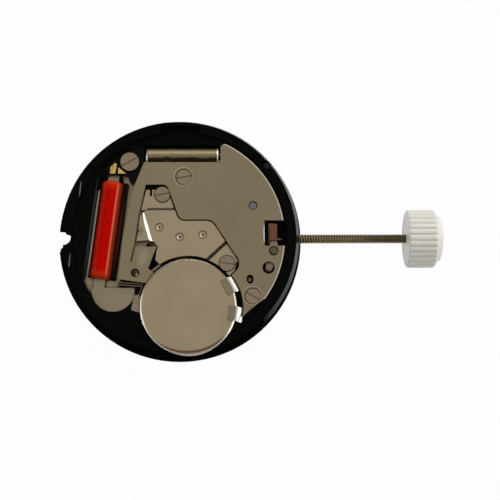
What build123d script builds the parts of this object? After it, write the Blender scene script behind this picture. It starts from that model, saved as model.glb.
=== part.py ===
from build123d import *
import os
from math import atan2, cos, hypot, pi, radians, sin, sqrt

os.makedirs("parts", exist_ok=True)

# Quartz watch movement with three hands, in millimetres. The origin is on the hands' axis in
# the plane that the dial lies on. Z points to the battery side, X along the stem to the crown.

# Driving dimensions
plate_radius = 8.75
plate_height = 2.70
cell_radius = 0.3886 * plate_radius
cell_height = 2.60
sheet_thick = 0.20
hour_seat_radius = 0.0686 * plate_radius
minute_seat_radius = 0.04 * plate_radius
seconds_seat_radius = 0.0114 * plate_radius
overrun = 1.0

# Clearances
pivot_clearance = 0.02
running_clearance = 0.03
seat_clearance = 0.05
wheel_clearance = 0.15
lever_clearance = 0.12

# Main plate levels
flange_height = 0.55
flange_chamfer = 0.08
body_step = 0.20
crown_step = 0.45
shoulder_height = 1.80
motion_depth = 0.60
web_thick = 0.22
web_top = motion_depth + web_thick
cover_top = plate_height - 0.4 * sheet_thick
cover_low = cover_top - sheet_thick
bridge_top = cover_top - 0.1 * sheet_thick
bridge_low = bridge_top - sheet_thick
joggle_drop = 0.25
joggle_run = 0.20
lug_top = bridge_top - joggle_drop
lug_low = lug_top - sheet_thick

# Train levels, from the web upwards
wheel_thick = 0.12
level_gap = 0.08
centre_wheel_low = web_top + level_gap
fifth_wheel_low = centre_wheel_low + wheel_thick + level_gap
third_wheel_low = fifth_wheel_low + wheel_thick + 2 * level_gap
seconds_wheel_low = third_wheel_low + wheel_thick + 3 * level_gap
fifth_pinion_low = seconds_wheel_low - level_gap
arbor_radius = 0.0103 * plate_radius
pivot_radius = 0.008 * plate_radius
pinion_margin = 0.06
oil_sink_radius = 0.032 * plate_radius
oil_sink_depth = 0.06

# Gears
rotor_teeth = 8
fifth_teeth = 48
fifth_pinion_teeth = 8
seconds_teeth = 40
seconds_pinion_teeth = 8
third_teeth = 64
third_pinion_teeth = 8
centre_teeth = 60
cannon_teeth = 12
minute_teeth = 36
minute_pinion_teeth = 10
hour_teeth = 40
setting_teeth = 18
addendum_share = 0.90
dedendum_share = 1.10
tooth_root_share = 0.30
tooth_tip_share = 0.12
spoke_hub_share = 0.36
spoke_rim_share = 0.76
spoke_hub_turn = 24
spoke_rim_turn = 36


def at(share):
    """A point given as a share of the plate's radius."""
    return (share[0] * plate_radius, share[1] * plate_radius)


def outline(shares):
    """Points of an outline given as shares of the plate's radius."""
    return [at(share) for share in shares]


def polar(middle, radius, turn):
    """Point at a radius and an angle in degrees from a middle."""
    return (middle[0] + radius * cos(radians(turn)), middle[1] + radius * sin(radians(turn)))


# Places on the plate
rotor_share = (-0.337, 0.051)
fifth_share = (-0.166, 0.080)
third_share = (0.186, 0.017)
minute_share = (0.158, 0.091)
cell_share = (0.069, -0.575)
rotor_place = at(rotor_share)
fifth_place = at(fifth_share)
third_place = at(third_share)
minute_place = at(minute_share)
cell_place = at(cell_share)
centre_place = (0, 0)

fifth_module = 2 * hypot(fifth_place[0] - rotor_place[0], fifth_place[1] - rotor_place[1])
fifth_module = fifth_module / (rotor_teeth + fifth_teeth)
seconds_module = 2 * hypot(*fifth_place) / (fifth_pinion_teeth + seconds_teeth)
third_module = 2 * hypot(*third_place) / (seconds_pinion_teeth + third_teeth)
centre_module = 2 * hypot(*third_place) / (third_pinion_teeth + centre_teeth)
minute_module = 2 * hypot(*minute_place) / (cannon_teeth + minute_teeth)
hour_module = 2 * hypot(*minute_place) / (minute_pinion_teeth + hour_teeth)
setting_distance = minute_module * (setting_teeth + minute_teeth) / 2
setting_x = minute_place[0] + sqrt(setting_distance**2 - minute_place[1] ** 2)
setting_place = (setting_x, 0)


def tip_radius(teeth, module):
    """Radius of a gear over its teeth."""
    return module * teeth / 2 + addendum_share * module


def gear_points(middle, teeth, module, phase):
    """Outline of a gear with four points to a tooth; phase is the angle of one tooth."""
    root = module * teeth / 2 - dedendum_share * module
    tip = tip_radius(teeth, module)
    step = 2 * pi / teeth
    corners = (
        (root, -tooth_root_share),
        (tip, -tooth_tip_share),
        (tip, tooth_tip_share),
        (root, tooth_root_share),
    )
    points = []
    for tooth in range(teeth):
        for radius, turn in corners:
            angle = phase + (tooth + turn) * step
            points.append((middle[0] + radius * cos(angle), middle[1] + radius * sin(angle)))
    return points


def meshed(driver_place, driver_teeth, driver_phase, middle, teeth):
    """Phase that puts a gear's gap against its driver's tooth."""
    line = atan2(middle[1] - driver_place[1], middle[0] - driver_place[0])
    return line + pi - (driver_phase - line) * driver_teeth / teeth - pi / teeth


def gear_sketch(middle, teeth, module, phase):
    """Plan of a gear."""
    with BuildSketch() as shape:
        with BuildLine():
            Polyline(*gear_points(middle, teeth, module, phase), close=True)
        make_face()
    return shape.sketch


def crossing_sketch(middle, teeth, module):
    """Plan of the four windows between the spokes of a wheel."""
    pitch = module * teeth / 2
    with BuildSketch() as shape:
        for window in range(4):
            turn = 90 * window
            corners = (
                (spoke_hub_share, turn - spoke_hub_turn),
                (spoke_rim_share, turn - spoke_rim_turn),
                (spoke_rim_share, turn),
                (spoke_rim_share, turn + spoke_rim_turn),
                (spoke_hub_share, turn + spoke_hub_turn),
            )
            with BuildLine():
                Polyline(*[polar(middle, share * pitch, angle) for share, angle in corners], close=True)
            make_face()
    return shape.sketch


def arm_sketch(ends):
    """Plan of a lever arm: the hull of round ends given as (place, radius)."""
    with BuildSketch() as shape:
        for end, radius in ends:
            with Locations(end):
                Circle(radius)
        make_hull()
    return shape.sketch


def wall_sketch(points, width):
    """Plan of an upright strip of one width that runs from point to point."""
    with BuildSketch() as shape:
        for start, end in zip(points, points[1:]):
            add(arm_sketch(((start, width / 2), (end, width / 2))))
    return shape.sketch


def polygon_sketch(points):
    """Plan with straight sides."""
    with BuildSketch() as shape:
        with BuildLine():
            Polyline(*points, close=True)
        make_face()
    return shape.sketch


def stacked_cylinders(middle, stages):
    """A turned arbor: stages are (low, high, radius) along Z."""
    with BuildPart() as shape:
        for low, high, radius in stages:
            with BuildSketch(Plane.XY.offset(low)):
                with Locations(middle):
                    Circle(radius)
            extrude(amount=high - low)
    return shape.part


# Motor: the coil lies on a line that leans a little from Y
coil_share = (-0.598, 0.067)
coil_place = at(coil_share)
coil_lean = 7.4
coil_radius = 0.80
coil_length = 0.8057 * plate_radius
coil_end_radius = 0.62
coil_end_taper = 0.04 * plate_radius
coil_axis_height = 1.80
core_thick = 0.30
core_width = 0.0914 * plate_radius
core_low = coil_axis_height - core_thick / 2
core_top = core_low + core_thick
stator_thick = 0.30
stator_low = core_low - stator_thick
coil_side_gap = 0.08
stator_rim = 0.0137 * plate_radius
stator_gap_right = 0.038 * plate_radius
magnet_radius = 0.0571 * plate_radius
magnet_overhang = 0.05
stator_hole_radius = 0.0709 * plate_radius
stator_land_radius = 0.1143 * plate_radius
stator_post_hole = 0.0514 * plate_radius
stator_post_radius = 0.0434 * plate_radius
foot_hole_share = (-0.360, -0.293)
foot_hole_radius = 0.0354 * plate_radius
core_lug_share = (-0.541, -0.427)
core_lug_place = at(core_lug_share)
core_lug_radius = 0.1749 * plate_radius
core_lug_flat = 0.0206 * plate_radius
board_screw_share = (-0.409, 0.625)
board_screw_place = at(board_screw_share)
core_end_radius = 0.0914 * plate_radius


def coil_plane(height):
    """Plane at a height with its Y axis along the coil."""
    lean = radians(coil_lean)
    return Plane(
        origin=(*coil_place, height),
        x_dir=(cos(lean), -sin(lean), 0),
        z_dir=(0, 0, 1),
    )


def beside_coil(across, along):
    """Point in plan, given across and along the coil from its middle."""
    lean = radians(coil_lean)
    return (
        coil_place[0] + across * cos(lean) + along * sin(lean),
        coil_place[1] - across * sin(lean) + along * cos(lean),
    )


half_coil = coil_length / 2
coil_window_left = -(coil_radius + coil_side_gap)
coil_window_right = coil_radius + stator_gap_right
stator_left = coil_window_left - stator_rim
stator_strip_share = 0.82
stator_foot_shares = ((-0.783, -0.336), (-0.751, -0.410), (-0.685, -0.507), (-0.587, -0.606))
stator_arm_shares = ((-0.395, -0.470), (-0.300, -0.200), (-0.240, 0.180), (-0.330, 0.520))


def stator_sketch():
    """Plan of the stator: a plate around the coil with an arm to the rotor."""
    with BuildSketch() as shape:
        add(
            polygon_sketch(
                [
                    beside_coil(stator_left, stator_strip_share * half_coil),
                    beside_coil(stator_left, -half_coil + stator_rim),
                    *outline(stator_foot_shares),
                    *outline(stator_arm_shares),
                    beside_coil(coil_window_right, half_coil),
                    beside_coil(0, stator_strip_share * half_coil),
                ]
            )
        )
        with Locations(rotor_place):
            Circle(stator_land_radius)
        with Locations(core_lug_place):
            Circle(core_lug_radius)
        add(
            arm_sketch(
                (
                    (board_screw_place, core_end_radius),
                    (beside_coil(coil_window_right + stator_rim, half_coil - core_end_radius), stator_rim),
                )
            )
        )
        add(
            polygon_sketch(
                [
                    beside_coil(coil_window_left, -half_coil),
                    beside_coil(coil_window_right, -half_coil),
                    beside_coil(coil_window_right, half_coil),
                    beside_coil(coil_window_left, half_coil),
                ]
            ),
            mode=Mode.SUBTRACT,
        )
        with Locations(at(foot_hole_share)):
            Circle(stator_post_hole, mode=Mode.SUBTRACT)
    return shape.sketch


def core_sketch():
    """Plan of the coil core: a strip with a half-round lug below and an eye above."""
    with BuildSketch() as shape:
        with Locations(core_lug_place):
            Circle(core_lug_radius)
        with Locations((core_lug_place[0], core_lug_place[1] + core_lug_flat + core_lug_radius)):
            Rectangle(2 * core_lug_radius, 2 * core_lug_radius, mode=Mode.SUBTRACT)
        add(
            polygon_sketch(
                [
                    beside_coil(-core_width / 2, -half_coil - core_width),
                    beside_coil(core_width / 2, -half_coil - core_width),
                    beside_coil(core_width / 2, half_coil + core_width),
                    beside_coil(-core_width / 2, half_coil + core_width),
                ]
            )
        )
        add(
            arm_sketch(
                (
                    (board_screw_place, core_end_radius),
                    (beside_coil(0, half_coil + core_width), core_width / 2),
                )
            )
        )
    return shape.sketch


# Screws
screw_head_radius = 0.0617 * plate_radius
screw_head_thick = 0.12
screw_shank_radius = 0.032 * plate_radius
screw_slot_width = 0.10
screw_slot_depth = 0.06
screw_depth = 0.80
board_screw_head_radius = 0.0754 * plate_radius
bridge_screw_shares = ((-0.142, 0.354), (0.383, -0.216))
bridge_screw_turns = (10, -8)
cover_screw_shares = ((0.034, 0.493), (0.591, -0.486))
cover_screw_turns = (10, -30)
board_screw_turn = 29


def screw(middle, seat, depth, head_radius, turn):
    """A slotted cheese-head screw whose head sits on the seat."""
    with BuildPart() as shape:
        with BuildSketch(Plane.XY.offset(seat - depth)):
            with Locations(middle):
                Circle(screw_shank_radius)
        extrude(amount=depth)
        with BuildSketch(Plane.XY.offset(seat)):
            with Locations(middle):
                Circle(head_radius)
        extrude(amount=screw_head_thick)
        with BuildSketch(Plane.XY.offset(seat + screw_head_thick)):
            with Locations(Location((*middle, 0), (0, 0, turn))):
                Rectangle(3 * head_radius, screw_slot_width)
        extrude(amount=-screw_slot_depth, mode=Mode.SUBTRACT)
    return shape.part


# Bridge window: the opening of the cover in which the train bridge and the cell lie
window_shares = (
    (-0.277, 0.431),
    (-0.103, 0.431),
    (0.000, 0.142),
    (0.265, 0.142),
    (0.477, -0.186),
    (0.454, -0.280),
    (0.377, -0.354),
    (-0.183, -0.389),
    (-0.218, -0.286),
    (-0.256, -0.259),
    (-0.188, -0.080),
    (-0.370, -0.080),
    (-0.335, 0.179),
)
window_round_shares = (0.01, 0.05, 0.055, 0.09, 0.03, 0.03, 0, 0, 0, 0, 0, 0, 0)
bridge_gap = 0.0114 * plate_radius
bridge_cell_gap = 0.032 * plate_radius


def window_sketch():
    """Plan of the opening around the train bridge."""
    with BuildSketch() as shape:
        with BuildLine():
            FilletPolyline(
                *outline(window_shares),
                radius=[share * plate_radius for share in window_round_shares],
                close=True,
            )
        make_face()
    return shape.sketch


# Circuit cover
cover_margin = 0.0171 * plate_radius
cover_recess_wall = 0.128 * plate_radius
cover_recess_radius = plate_radius - cover_recess_wall
cover_radius = cover_recess_radius - cover_margin
cover_corner_radius = 0.0343 * plate_radius
cover_left_shares = (
    (0.334, 1.100),
    (0.334, 0.617),
    (-0.291, 0.617),
    (-0.368, 0.426),
    (-0.459, 0.011),
    (-0.497, -0.343),
    (-0.263, -0.377),
    (0.100, -0.500),
    (0.420, -0.600),
    (0.493, -0.667),
    (0.566, -0.591),
    (0.691, -0.503),
    (1.100, -0.503),
    (1.100, -1.100),
    (-1.100, -1.100),
    (-1.100, 1.100),
)
cell_gap_right = 0.0575 * plate_radius
cell_gap_left = 0.0091 * plate_radius
notch_share = 0.689
notch_low_share = -0.075
notch_high_share = 0.134
setting_stud_share = (0.765, -0.115)
release_share = (0.725, -0.250)
reset_stud_share = (0.569, -0.351)
test_pad_share = (0.597, 0.256)
stud_hole_radius = 0.0354 * plate_radius
release_hole_radius = 0.0434 * plate_radius
test_hole_radius = 0.0366 * plate_radius
reset_hole_length = 0.0686 * plate_radius
reset_hole_width = 0.048 * plate_radius
tongue_slot_width = 0.0137 * plate_radius
tongue_slot_shares = ((-0.366, -0.075), (-0.392, -0.200))


def cover_blank(radius):
    """Plan of the cover without its openings, out to a given radius."""
    with BuildSketch() as shape:
        Circle(radius)
        add(polygon_sketch(outline(cover_left_shares)), mode=Mode.SUBTRACT)
        fillet(shape.vertices().sort_by(Axis.Y)[-1], cover_corner_radius)
    return shape.sketch


# Keyless works
stem_height = 1.30
stem_pull = 0.50
stem_body_radius = 0.40
stem_thread_radius = 0.32
stem_groove_radius = 0.24
stem_groove_width = 0.0411 * plate_radius
stem_square = 0.44
stem_pivot_radius = 0.18
stem_end_share = 0.366
stem_square_share = 0.440
stem_body_share = 0.640
stem_shoulder = 0.10
stem_free_length = 0.8514 * plate_radius
crown_radius = 2.10
crown_fluted = 0.24 * plate_radius
crown_length = 0.2971 * plate_radius
crown_flutes = 30
crown_flute_depth = 0.13
crown_rim_length = 0.10
crown_dome_root = 0.10
crown_dome_chamfer = 0.30
crown_bore_depth = 0.1829 * plate_radius
crown_dome_share = 0.82
crown_place = plate_radius + stem_shoulder + stem_free_length
clutch_share = 0.440
clutch_place = clutch_share * plate_radius
clutch_crown_radius = 0.90
clutch_crown_inner = 0.62
clutch_tooth_depth = 0.0171 * plate_radius
clutch_crown_thick = 0.0171 * plate_radius
clutch_teeth = 14
clutch_tooth_share = 0.45
clutch_hub_radius = 0.60
clutch_hub_length = 0.0229 * plate_radius
clutch_groove_width = 0.0571 * plate_radius
clutch_groove_radius = 0.45
clutch_flange_thick = 0.0229 * plate_radius
clutch_length = (
    clutch_tooth_depth + clutch_crown_thick + clutch_hub_length + clutch_groove_width + clutch_flange_thick
)
groove_place = clutch_place + clutch_length - clutch_flange_thick - clutch_groove_width
lever_low = 2.02
lever_thick = 0.16
lever_pocket_low = lever_low - running_clearance
stud_radius = 0.0171 * plate_radius
setting_stud_place = at(setting_stud_share)
release_place = at(release_share)
yoke_stud_share = (0.583, -0.240)
yoke_stud_place = at(yoke_stud_share)
reset_stud_place = at(reset_stud_share)
setting_nose_place = (setting_stud_place[0], 0)
stud_head_radius = 1.4 * stud_radius
setting_boss_radius = 0.0389 * plate_radius
setting_nose_radius = 0.0229 * plate_radius
setting_pin_radius = 0.0149 * plate_radius
release_pad_radius = 0.0274 * plate_radius
yoke_boss_radius = 0.032 * plate_radius
yoke_nose_radius = 0.0206 * plate_radius
yoke_nib_thick = 0.0183 * plate_radius
yoke_nib_width = 0.0411 * plate_radius
yoke_nose_place = (groove_place + clutch_groove_width - yoke_nib_thick / 2 - running_clearance, 0)
reset_elbow_shares = ((0.463, -0.149), (0.406, -0.097))
reset_tip_share = (0.383, 0.063)
reset_stop_share = (0.354, 0.058)
reset_pin_radius = 0.0114 * plate_radius
reset_arm_radius = 0.0137 * plate_radius
reset_thick = 0.10
spring_ends_shares = ((0.690, -0.385), (0.772, -0.290))
spring_radius = 0.0114 * plate_radius
spring_root_radius = 0.0297 * plate_radius


def stem_plane(distance):
    """Plane across the stem, at a distance from the hands' axis."""
    return Plane(origin=(distance, 0, stem_height), x_dir=(0, 1, 0), z_dir=(1, 0, 0))


def fluted_sketch(outer, inner, flutes):
    """Plan of a grip: broad ridges with narrow grooves between them."""
    step = 2 * pi / flutes
    points = []
    for flute in range(flutes):
        for radius, turn in ((inner, 0), (outer, 0.3), (outer, 0.7)):
            angle = (flute + turn) * step
            points.append((radius * cos(angle), radius * sin(angle)))
    return polygon_sketch(points)


def grown(plan, gap):
    """Plan grown by a gap on every side."""
    return offset(plan, amount=gap)


# Plans that several pieces share
lever_pocket_shares = (
    (0.349, 0.126),
    (0.858, 0.126),
    (0.858, -0.070),
    (0.806, -0.297),
    (0.709, -0.411),
    (0.526, -0.411),
    (0.491, -0.297),
    (0.429, -0.171),
    (0.349, -0.109),
)
circuit_board_shares = (
    (-0.251, 0.566),
    (0.360, 0.566),
    (0.360, 0.714),
    (0.423, 0.714),
    (0.606, 0.566),
    (0.754, 0.297),
    (0.754, 0.166),
    (0.051, 0.166),
    (-0.051, 0.451),
    (-0.251, 0.451),
)
terminal_board_shares = (
    (-0.294, 0.759),
    (-0.289, 0.642),
    (-0.370, 0.439),
    (-0.406, 0.457),
    (-0.429, 0.520),
    (-0.600, 0.520),
    (-0.611, 0.583),
    (-0.463, 0.695),
)
raised_shares = (
    (-0.249, -0.025),
    (-0.311, 0.184),
    (-0.254, 0.241),
    (0.229, 0.241),
    (0.446, 0.005),
    (0.200, -0.221),
    (-0.160, -0.226),
    (-0.197, -0.189),
    (-0.184, -0.086),
    (-0.200, -0.046),
)
upper_lug_shares = ((-0.320, 0.226), (-0.291, 0.392), (-0.086, 0.392), (-0.030, 0.226))
right_lug_shares = ((0.185, -0.216), (0.437, 0.015), (0.520, -0.240), (0.410, -0.380), (0.250, -0.300))
left_flange_shares = ((-0.334, 0.180), (-0.298, 0.186), (-0.234, -0.021), (-0.365, -0.031))
lug_notch_share = (-0.235, 0.380)
lug_notch_width = 0.0183 * plate_radius
lug_notch_length = 0.08 * plate_radius

window_plan = window_sketch()
inside_window_plan = offset(window_plan, amount=-bridge_gap)
circuit_board_plan = polygon_sketch(outline(circuit_board_shares))
terminal_board_plan = polygon_sketch(outline(terminal_board_shares))
lever_pocket_plan = polygon_sketch(outline(lever_pocket_shares))
stator_plan = stator_sketch()
core_plan = core_sketch()
cover_plan = cover_blank(cover_radius)
raised_plan = polygon_sketch(outline(raised_shares)) & inside_window_plan
lug_plan = (
    polygon_sketch(outline(upper_lug_shares))
    + polygon_sketch(outline(right_lug_shares))
    + polygon_sketch(outline(left_flange_shares))
) & inside_window_plan
joggle_plan = raised_plan & lug_plan

# Crystal
crystal_share = (0.020, 0.669)
crystal_place = at(crystal_share)
crystal_radius = 0.75
crystal_length = 0.5943 * plate_radius
crystal_height = 1.80
crystal_end_chamfer = 0.12
crystal_lead_radius = 0.09
crystal_lead_gap = 0.0571 * plate_radius
crystal_lead_length = 0.0743 * plate_radius
crystal_pocket_gap = 0.07
board_top = cover_low - 0.1 * sheet_thick
board_low = board_top - sheet_thick

# Circuit
chip_share = (0.366, 0.343)
chip_size = 0.1829 * plate_radius
chip_thick = 0.50
pad_radius = 0.0309 * plate_radius
pad_thick = 0.10
terminal_thick = 0.40
terminal_top = core_top + terminal_thick
solder_thick = 0.04
solder_shares = (
    ((-0.570, 0.528), (-0.567, 0.579), (-0.530, 0.617), (-0.514, 0.605), (-0.528, 0.528)),
    ((-0.505, 0.528), (-0.502, 0.579), (-0.473, 0.555), (-0.440, 0.528)),
)

# Cell
cell_low = 0.45
cell_top = cell_low + cell_height
cell_edge_chamfer = 0.12
cell_crimp = 0.12
cell_lid_radius = 0.81 * cell_radius
cell_gasket_thick = 0.06 * cell_radius
cell_lid_height = 0.30
cell_pocket_radius = 1.02 * cell_radius

# Contacts and clamp
contact_thick = 0.12
contact_width = 0.1371 * plate_radius
contact_reach = 1.094 * cell_radius
contact_tail = 0.1371 * plate_radius
contact_leg_width = 0.0914 * plate_radius
contact_turn = 128.8
side_contact_reach = 1.058 * cell_radius
side_contact_place_turn = 176.0
side_contact_length = 0.1257 * plate_radius
side_contact_turn = 94.0
side_contact_place = polar(cell_place, side_contact_reach, side_contact_place_turn)
side_contact_low = 0.90
side_fold_width = 0.0091 * plate_radius
side_fold_low = core_low + seat_clearance
side_fold_shares = (
    (-0.337, -0.486),
    (-0.304, -0.400),
    (-0.498, -0.386),
    (-0.498, -0.367),
    (-0.299, -0.381),
)
side_flange_low = core_top + seat_clearance
side_flange_shares = ((-0.366, -0.462), (-0.320, -0.470), (-0.331, -0.610), (-0.398, -0.588))
side_fold_plan = wall_sketch([at(share) for share in side_fold_shares], side_fold_width)
side_flange_plan = polygon_sketch(outline(side_flange_shares))
clamp_low = cover_low - contact_thick
clamp_tab_turns = (27.0, -8.4)
clamp_corner_turns = (36.0, -14.0)
clamp_corner_radius = 0.0229 * plate_radius
clamp_tab_widths = (0.338 * cell_radius, 0.303 * cell_radius)
clamp_foot = 1.265 * cell_radius
clamp_bend = 1.133 * cell_radius
clamp_knee = 1.031 * cell_radius
clamp_knee_rise = 0.089 * cell_radius
clamp_over = 1.006 * cell_radius
clamp_reach = 0.838 * cell_radius
clamp_screw_radius = 0.0709 * plate_radius

# Rim
rim_notch_share = (-0.943, -0.002)
rim_notch_radius = 0.0629 * plate_radius
rim_notch_mouth = 0.1714 * plate_radius
rim_flat_share = 0.966
rim_flat_width = 0.2629 * plate_radius
rim_window_share = (0.006, 0.873)
rim_window_width = 0.32 * plate_radius
rim_window_height = 0.096 * plate_radius
rim_window_depth = 0.60
rim_slot_width = 0.10
rim_slot_depth = 0.30
rim_slots_shares = (((-0.793, 0.442), (-0.805, 0.303)), ((-0.873, -0.115), (-0.883, -0.254)))
peg_radius = 0.0377 * plate_radius
peg_depth = 0.25
foot_turns = (40.0, 220.0)
foot_place_share = 0.926
foot_bore_radius = 0.0411 * plate_radius
foot_bore_depth = 1.20

# Dial side
guard_low = 0.02
guard_thick = 0.15
guard_top = guard_low + guard_thick
hour_pipe_radius = 1.3 * hour_seat_radius
guard_hole_radius = hour_pipe_radius + 2 * running_clearance
guard_screw_shares = ((-0.149, -0.154), (-0.137, 0.171), (0.349, 0.166))
guard_screw_head_radius = 0.0366 * plate_radius
guard_screw_head_thick = 0.08
guard_screw_shank_radius = 0.0171 * plate_radius
guard_screw_depth = 0.40
guard_ear_radius = 0.0514 * plate_radius
motion_low = guard_top + level_gap / 2
hour_wheel_low = 0.24
minute_wheel_low = 0.42
motion_stud_radius = 0.0171 * plate_radius
cannon_low = 0.40
cannon_thick = 0.16
hour_seat_low = -1.00
minute_seat_low = -1.45
seconds_seat_low = -1.90
seconds_arbor_radius = 0.0126 * plate_radius
hand_seat_length = 0.40
tube_radius = 0.0263 * plate_radius
tube_bore = 0.0149 * plate_radius
tube_low = -1.20
hour_bore = 0.0469 * plate_radius
cannon_pipe_radius = 0.0434 * plate_radius

rotor_well = magnet_radius + wheel_clearance
fifth_well = tip_radius(fifth_teeth, fifth_module) + wheel_clearance
centre_well = tip_radius(centre_teeth, centre_module) + wheel_clearance
third_well = tip_radius(third_teeth, third_module) + wheel_clearance
minute_well = tip_radius(minute_teeth, minute_module) + wheel_clearance
hour_well = tip_radius(hour_teeth, hour_module) + wheel_clearance
setting_well = tip_radius(setting_teeth, minute_module) + wheel_clearance
train_wells = (
    (rotor_place, rotor_well),
    (fifth_place, fifth_well),
    (centre_place, centre_well),
    (third_place, third_well),
)
motion_wells = ((centre_place, hour_well), (minute_place, minute_well), (setting_place, setting_well))
web_pivots = (rotor_place, fifth_place, third_place)
guard_rounds = [(middle, radius + wheel_clearance) for middle, radius in motion_wells]
guard_rounds += [(at(share), guard_ear_radius) for share in guard_screw_shares]
guard_plan = arm_sketch(guard_rounds)
guard_recess_plan = arm_sketch([(middle, radius + seat_clearance) for middle, radius in guard_rounds])
clamp_plan = arm_sketch(
    (
        (at(cover_screw_shares[1]), clamp_screw_radius),
        (polar(cell_place, clamp_foot, clamp_corner_turns[0]), clamp_corner_radius),
        (polar(cell_place, clamp_foot, clamp_corner_turns[1]), clamp_corner_radius),
    )
)


def turned_plane(middle, height, turn):
    """Level plane with its X axis turned by an angle in degrees."""
    return Plane(
        origin=(*middle, height),
        x_dir=(cos(radians(turn)), sin(radians(turn)), 0),
        z_dir=(0, 0, 1),
    )


def radial_plane(turn):
    """Upright plane through the cell's axis; its X axis points outward."""
    return Plane(
        origin=(*cell_place, 0),
        x_dir=(cos(radians(turn)), sin(radians(turn)), 0),
        z_dir=(sin(radians(turn)), -cos(radians(turn)), 0),
    )


# Main plate
with BuildPart() as main_plate:
    with BuildSketch(Plane.XZ):
        with BuildLine():
            Polyline(
                (0, 0),
                (plate_radius - flange_chamfer, 0),
                (plate_radius, flange_chamfer),
                (plate_radius, flange_height - flange_chamfer),
                (plate_radius - flange_chamfer, flange_height),
                (plate_radius - body_step, flange_height),
                (plate_radius - body_step, shoulder_height),
                (plate_radius - crown_step, plate_height),
                (0, plate_height),
                close=True,
            )
        make_face()
    revolve(axis=Axis.Z)
    with BuildSketch(Plane.XY.offset(cover_low)):
        Circle(cover_recess_radius)
    extrude(amount=overrun, mode=Mode.SUBTRACT)
    with BuildSketch(Plane.XY.offset(lug_low)):
        add(window_plan)
    extrude(amount=overrun, mode=Mode.SUBTRACT)
    # Wells of the train, the coil, the stator and the core
    with BuildSketch(Plane.XY.offset(web_top)):
        for middle, radius in train_wells:
            with Locations(middle):
                Circle(radius)
    extrude(amount=plate_height, mode=Mode.SUBTRACT)
    with BuildSketch(coil_plane(coil_axis_height - coil_radius - coil_side_gap)):
        Rectangle(2 * (coil_radius + coil_side_gap), coil_length + 4 * coil_side_gap)
    extrude(amount=plate_height, mode=Mode.SUBTRACT)
    with BuildSketch(Plane.XY.offset(stator_low)):
        add(grown(stator_plan, seat_clearance))
    extrude(amount=plate_height, mode=Mode.SUBTRACT)
    with BuildSketch(Plane.XY.offset(core_low)):
        add(grown(core_plan, seat_clearance))
    extrude(amount=plate_height, mode=Mode.SUBTRACT)
    # Pockets of the crystal, the circuit and the terminal board
    with BuildSketch(Plane.XY.offset(crystal_height - crystal_radius - crystal_pocket_gap)):
        with Locations(crystal_place):
            Rectangle(
                crystal_length + 2 * crystal_pocket_gap,
                2 * (crystal_radius + crystal_pocket_gap),
            )
    extrude(amount=plate_height, mode=Mode.SUBTRACT)
    with BuildSketch(Plane.XY.offset(crystal_height - 2 * crystal_lead_radius)):
        with Locations((crystal_place[0] + crystal_length / 2 + crystal_lead_length / 2, crystal_place[1])):
            Rectangle(crystal_lead_length + 4 * crystal_lead_radius, 2 * crystal_lead_gap)
    extrude(amount=plate_height, mode=Mode.SUBTRACT)
    with BuildSketch(Plane.XY.offset(board_low)):
        add(grown(circuit_board_plan, seat_clearance))
    extrude(amount=plate_height, mode=Mode.SUBTRACT)
    with BuildSketch(Plane.XY.offset(board_low - chip_thick - seat_clearance)):
        with Locations(at(chip_share)):
            Rectangle(chip_size + 2 * wheel_clearance, chip_size + 2 * wheel_clearance)
    extrude(amount=plate_height, mode=Mode.SUBTRACT)
    with BuildSketch(Plane.XY.offset(core_top)):
        add(grown(terminal_board_plan, seat_clearance))
    extrude(amount=plate_height, mode=Mode.SUBTRACT)
    # Pocket of the cell and slots of its contacts
    with BuildSketch(Plane.XY.offset(cell_low)):
        with Locations(cell_place):
            Circle(cell_pocket_radius)
    extrude(amount=plate_height, mode=Mode.SUBTRACT)
    with BuildSketch(turned_plane(cell_place, cell_low - contact_thick, contact_turn)):
        with Locations(((contact_reach - contact_tail) / 2, 0)):
            Rectangle(contact_reach + contact_tail + 2 * seat_clearance, contact_width + 2 * seat_clearance)
    extrude(amount=contact_thick, mode=Mode.SUBTRACT)
    with BuildSketch(turned_plane(cell_place, cell_low - contact_thick, contact_turn)):
        with Locations((contact_reach - contact_thick, 0)):
            Rectangle(2 * contact_thick + 2 * seat_clearance, contact_width + 2 * seat_clearance)
    extrude(amount=plate_height, mode=Mode.SUBTRACT)
    with BuildSketch(turned_plane(side_contact_place, side_contact_low, side_contact_turn)):
        Rectangle(side_contact_length + 2 * seat_clearance, contact_thick + 2 * seat_clearance)
    extrude(amount=plate_height, mode=Mode.SUBTRACT)
    with BuildSketch(Plane.XY.offset(side_fold_low)):
        add(grown(side_fold_plan, seat_clearance))
    extrude(amount=plate_height, mode=Mode.SUBTRACT)
    with BuildSketch(Plane.XY.offset(side_flange_low - seat_clearance)):
        add(grown(side_flange_plan, seat_clearance))
    extrude(amount=plate_height, mode=Mode.SUBTRACT)
    with BuildSketch(Plane.XY.offset(clamp_low)):
        add(grown(clamp_plan, seat_clearance))
    extrude(amount=plate_height, mode=Mode.SUBTRACT)
    for turn, width in zip(clamp_tab_turns, clamp_tab_widths):
        with BuildSketch(turned_plane(cell_place, clamp_low, turn)):
            with Locations(((clamp_foot + cell_radius) / 2 + seat_clearance, 0)):
                Rectangle(clamp_foot - cell_radius, width + 2 * seat_clearance)
        extrude(amount=plate_height, mode=Mode.SUBTRACT)
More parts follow.
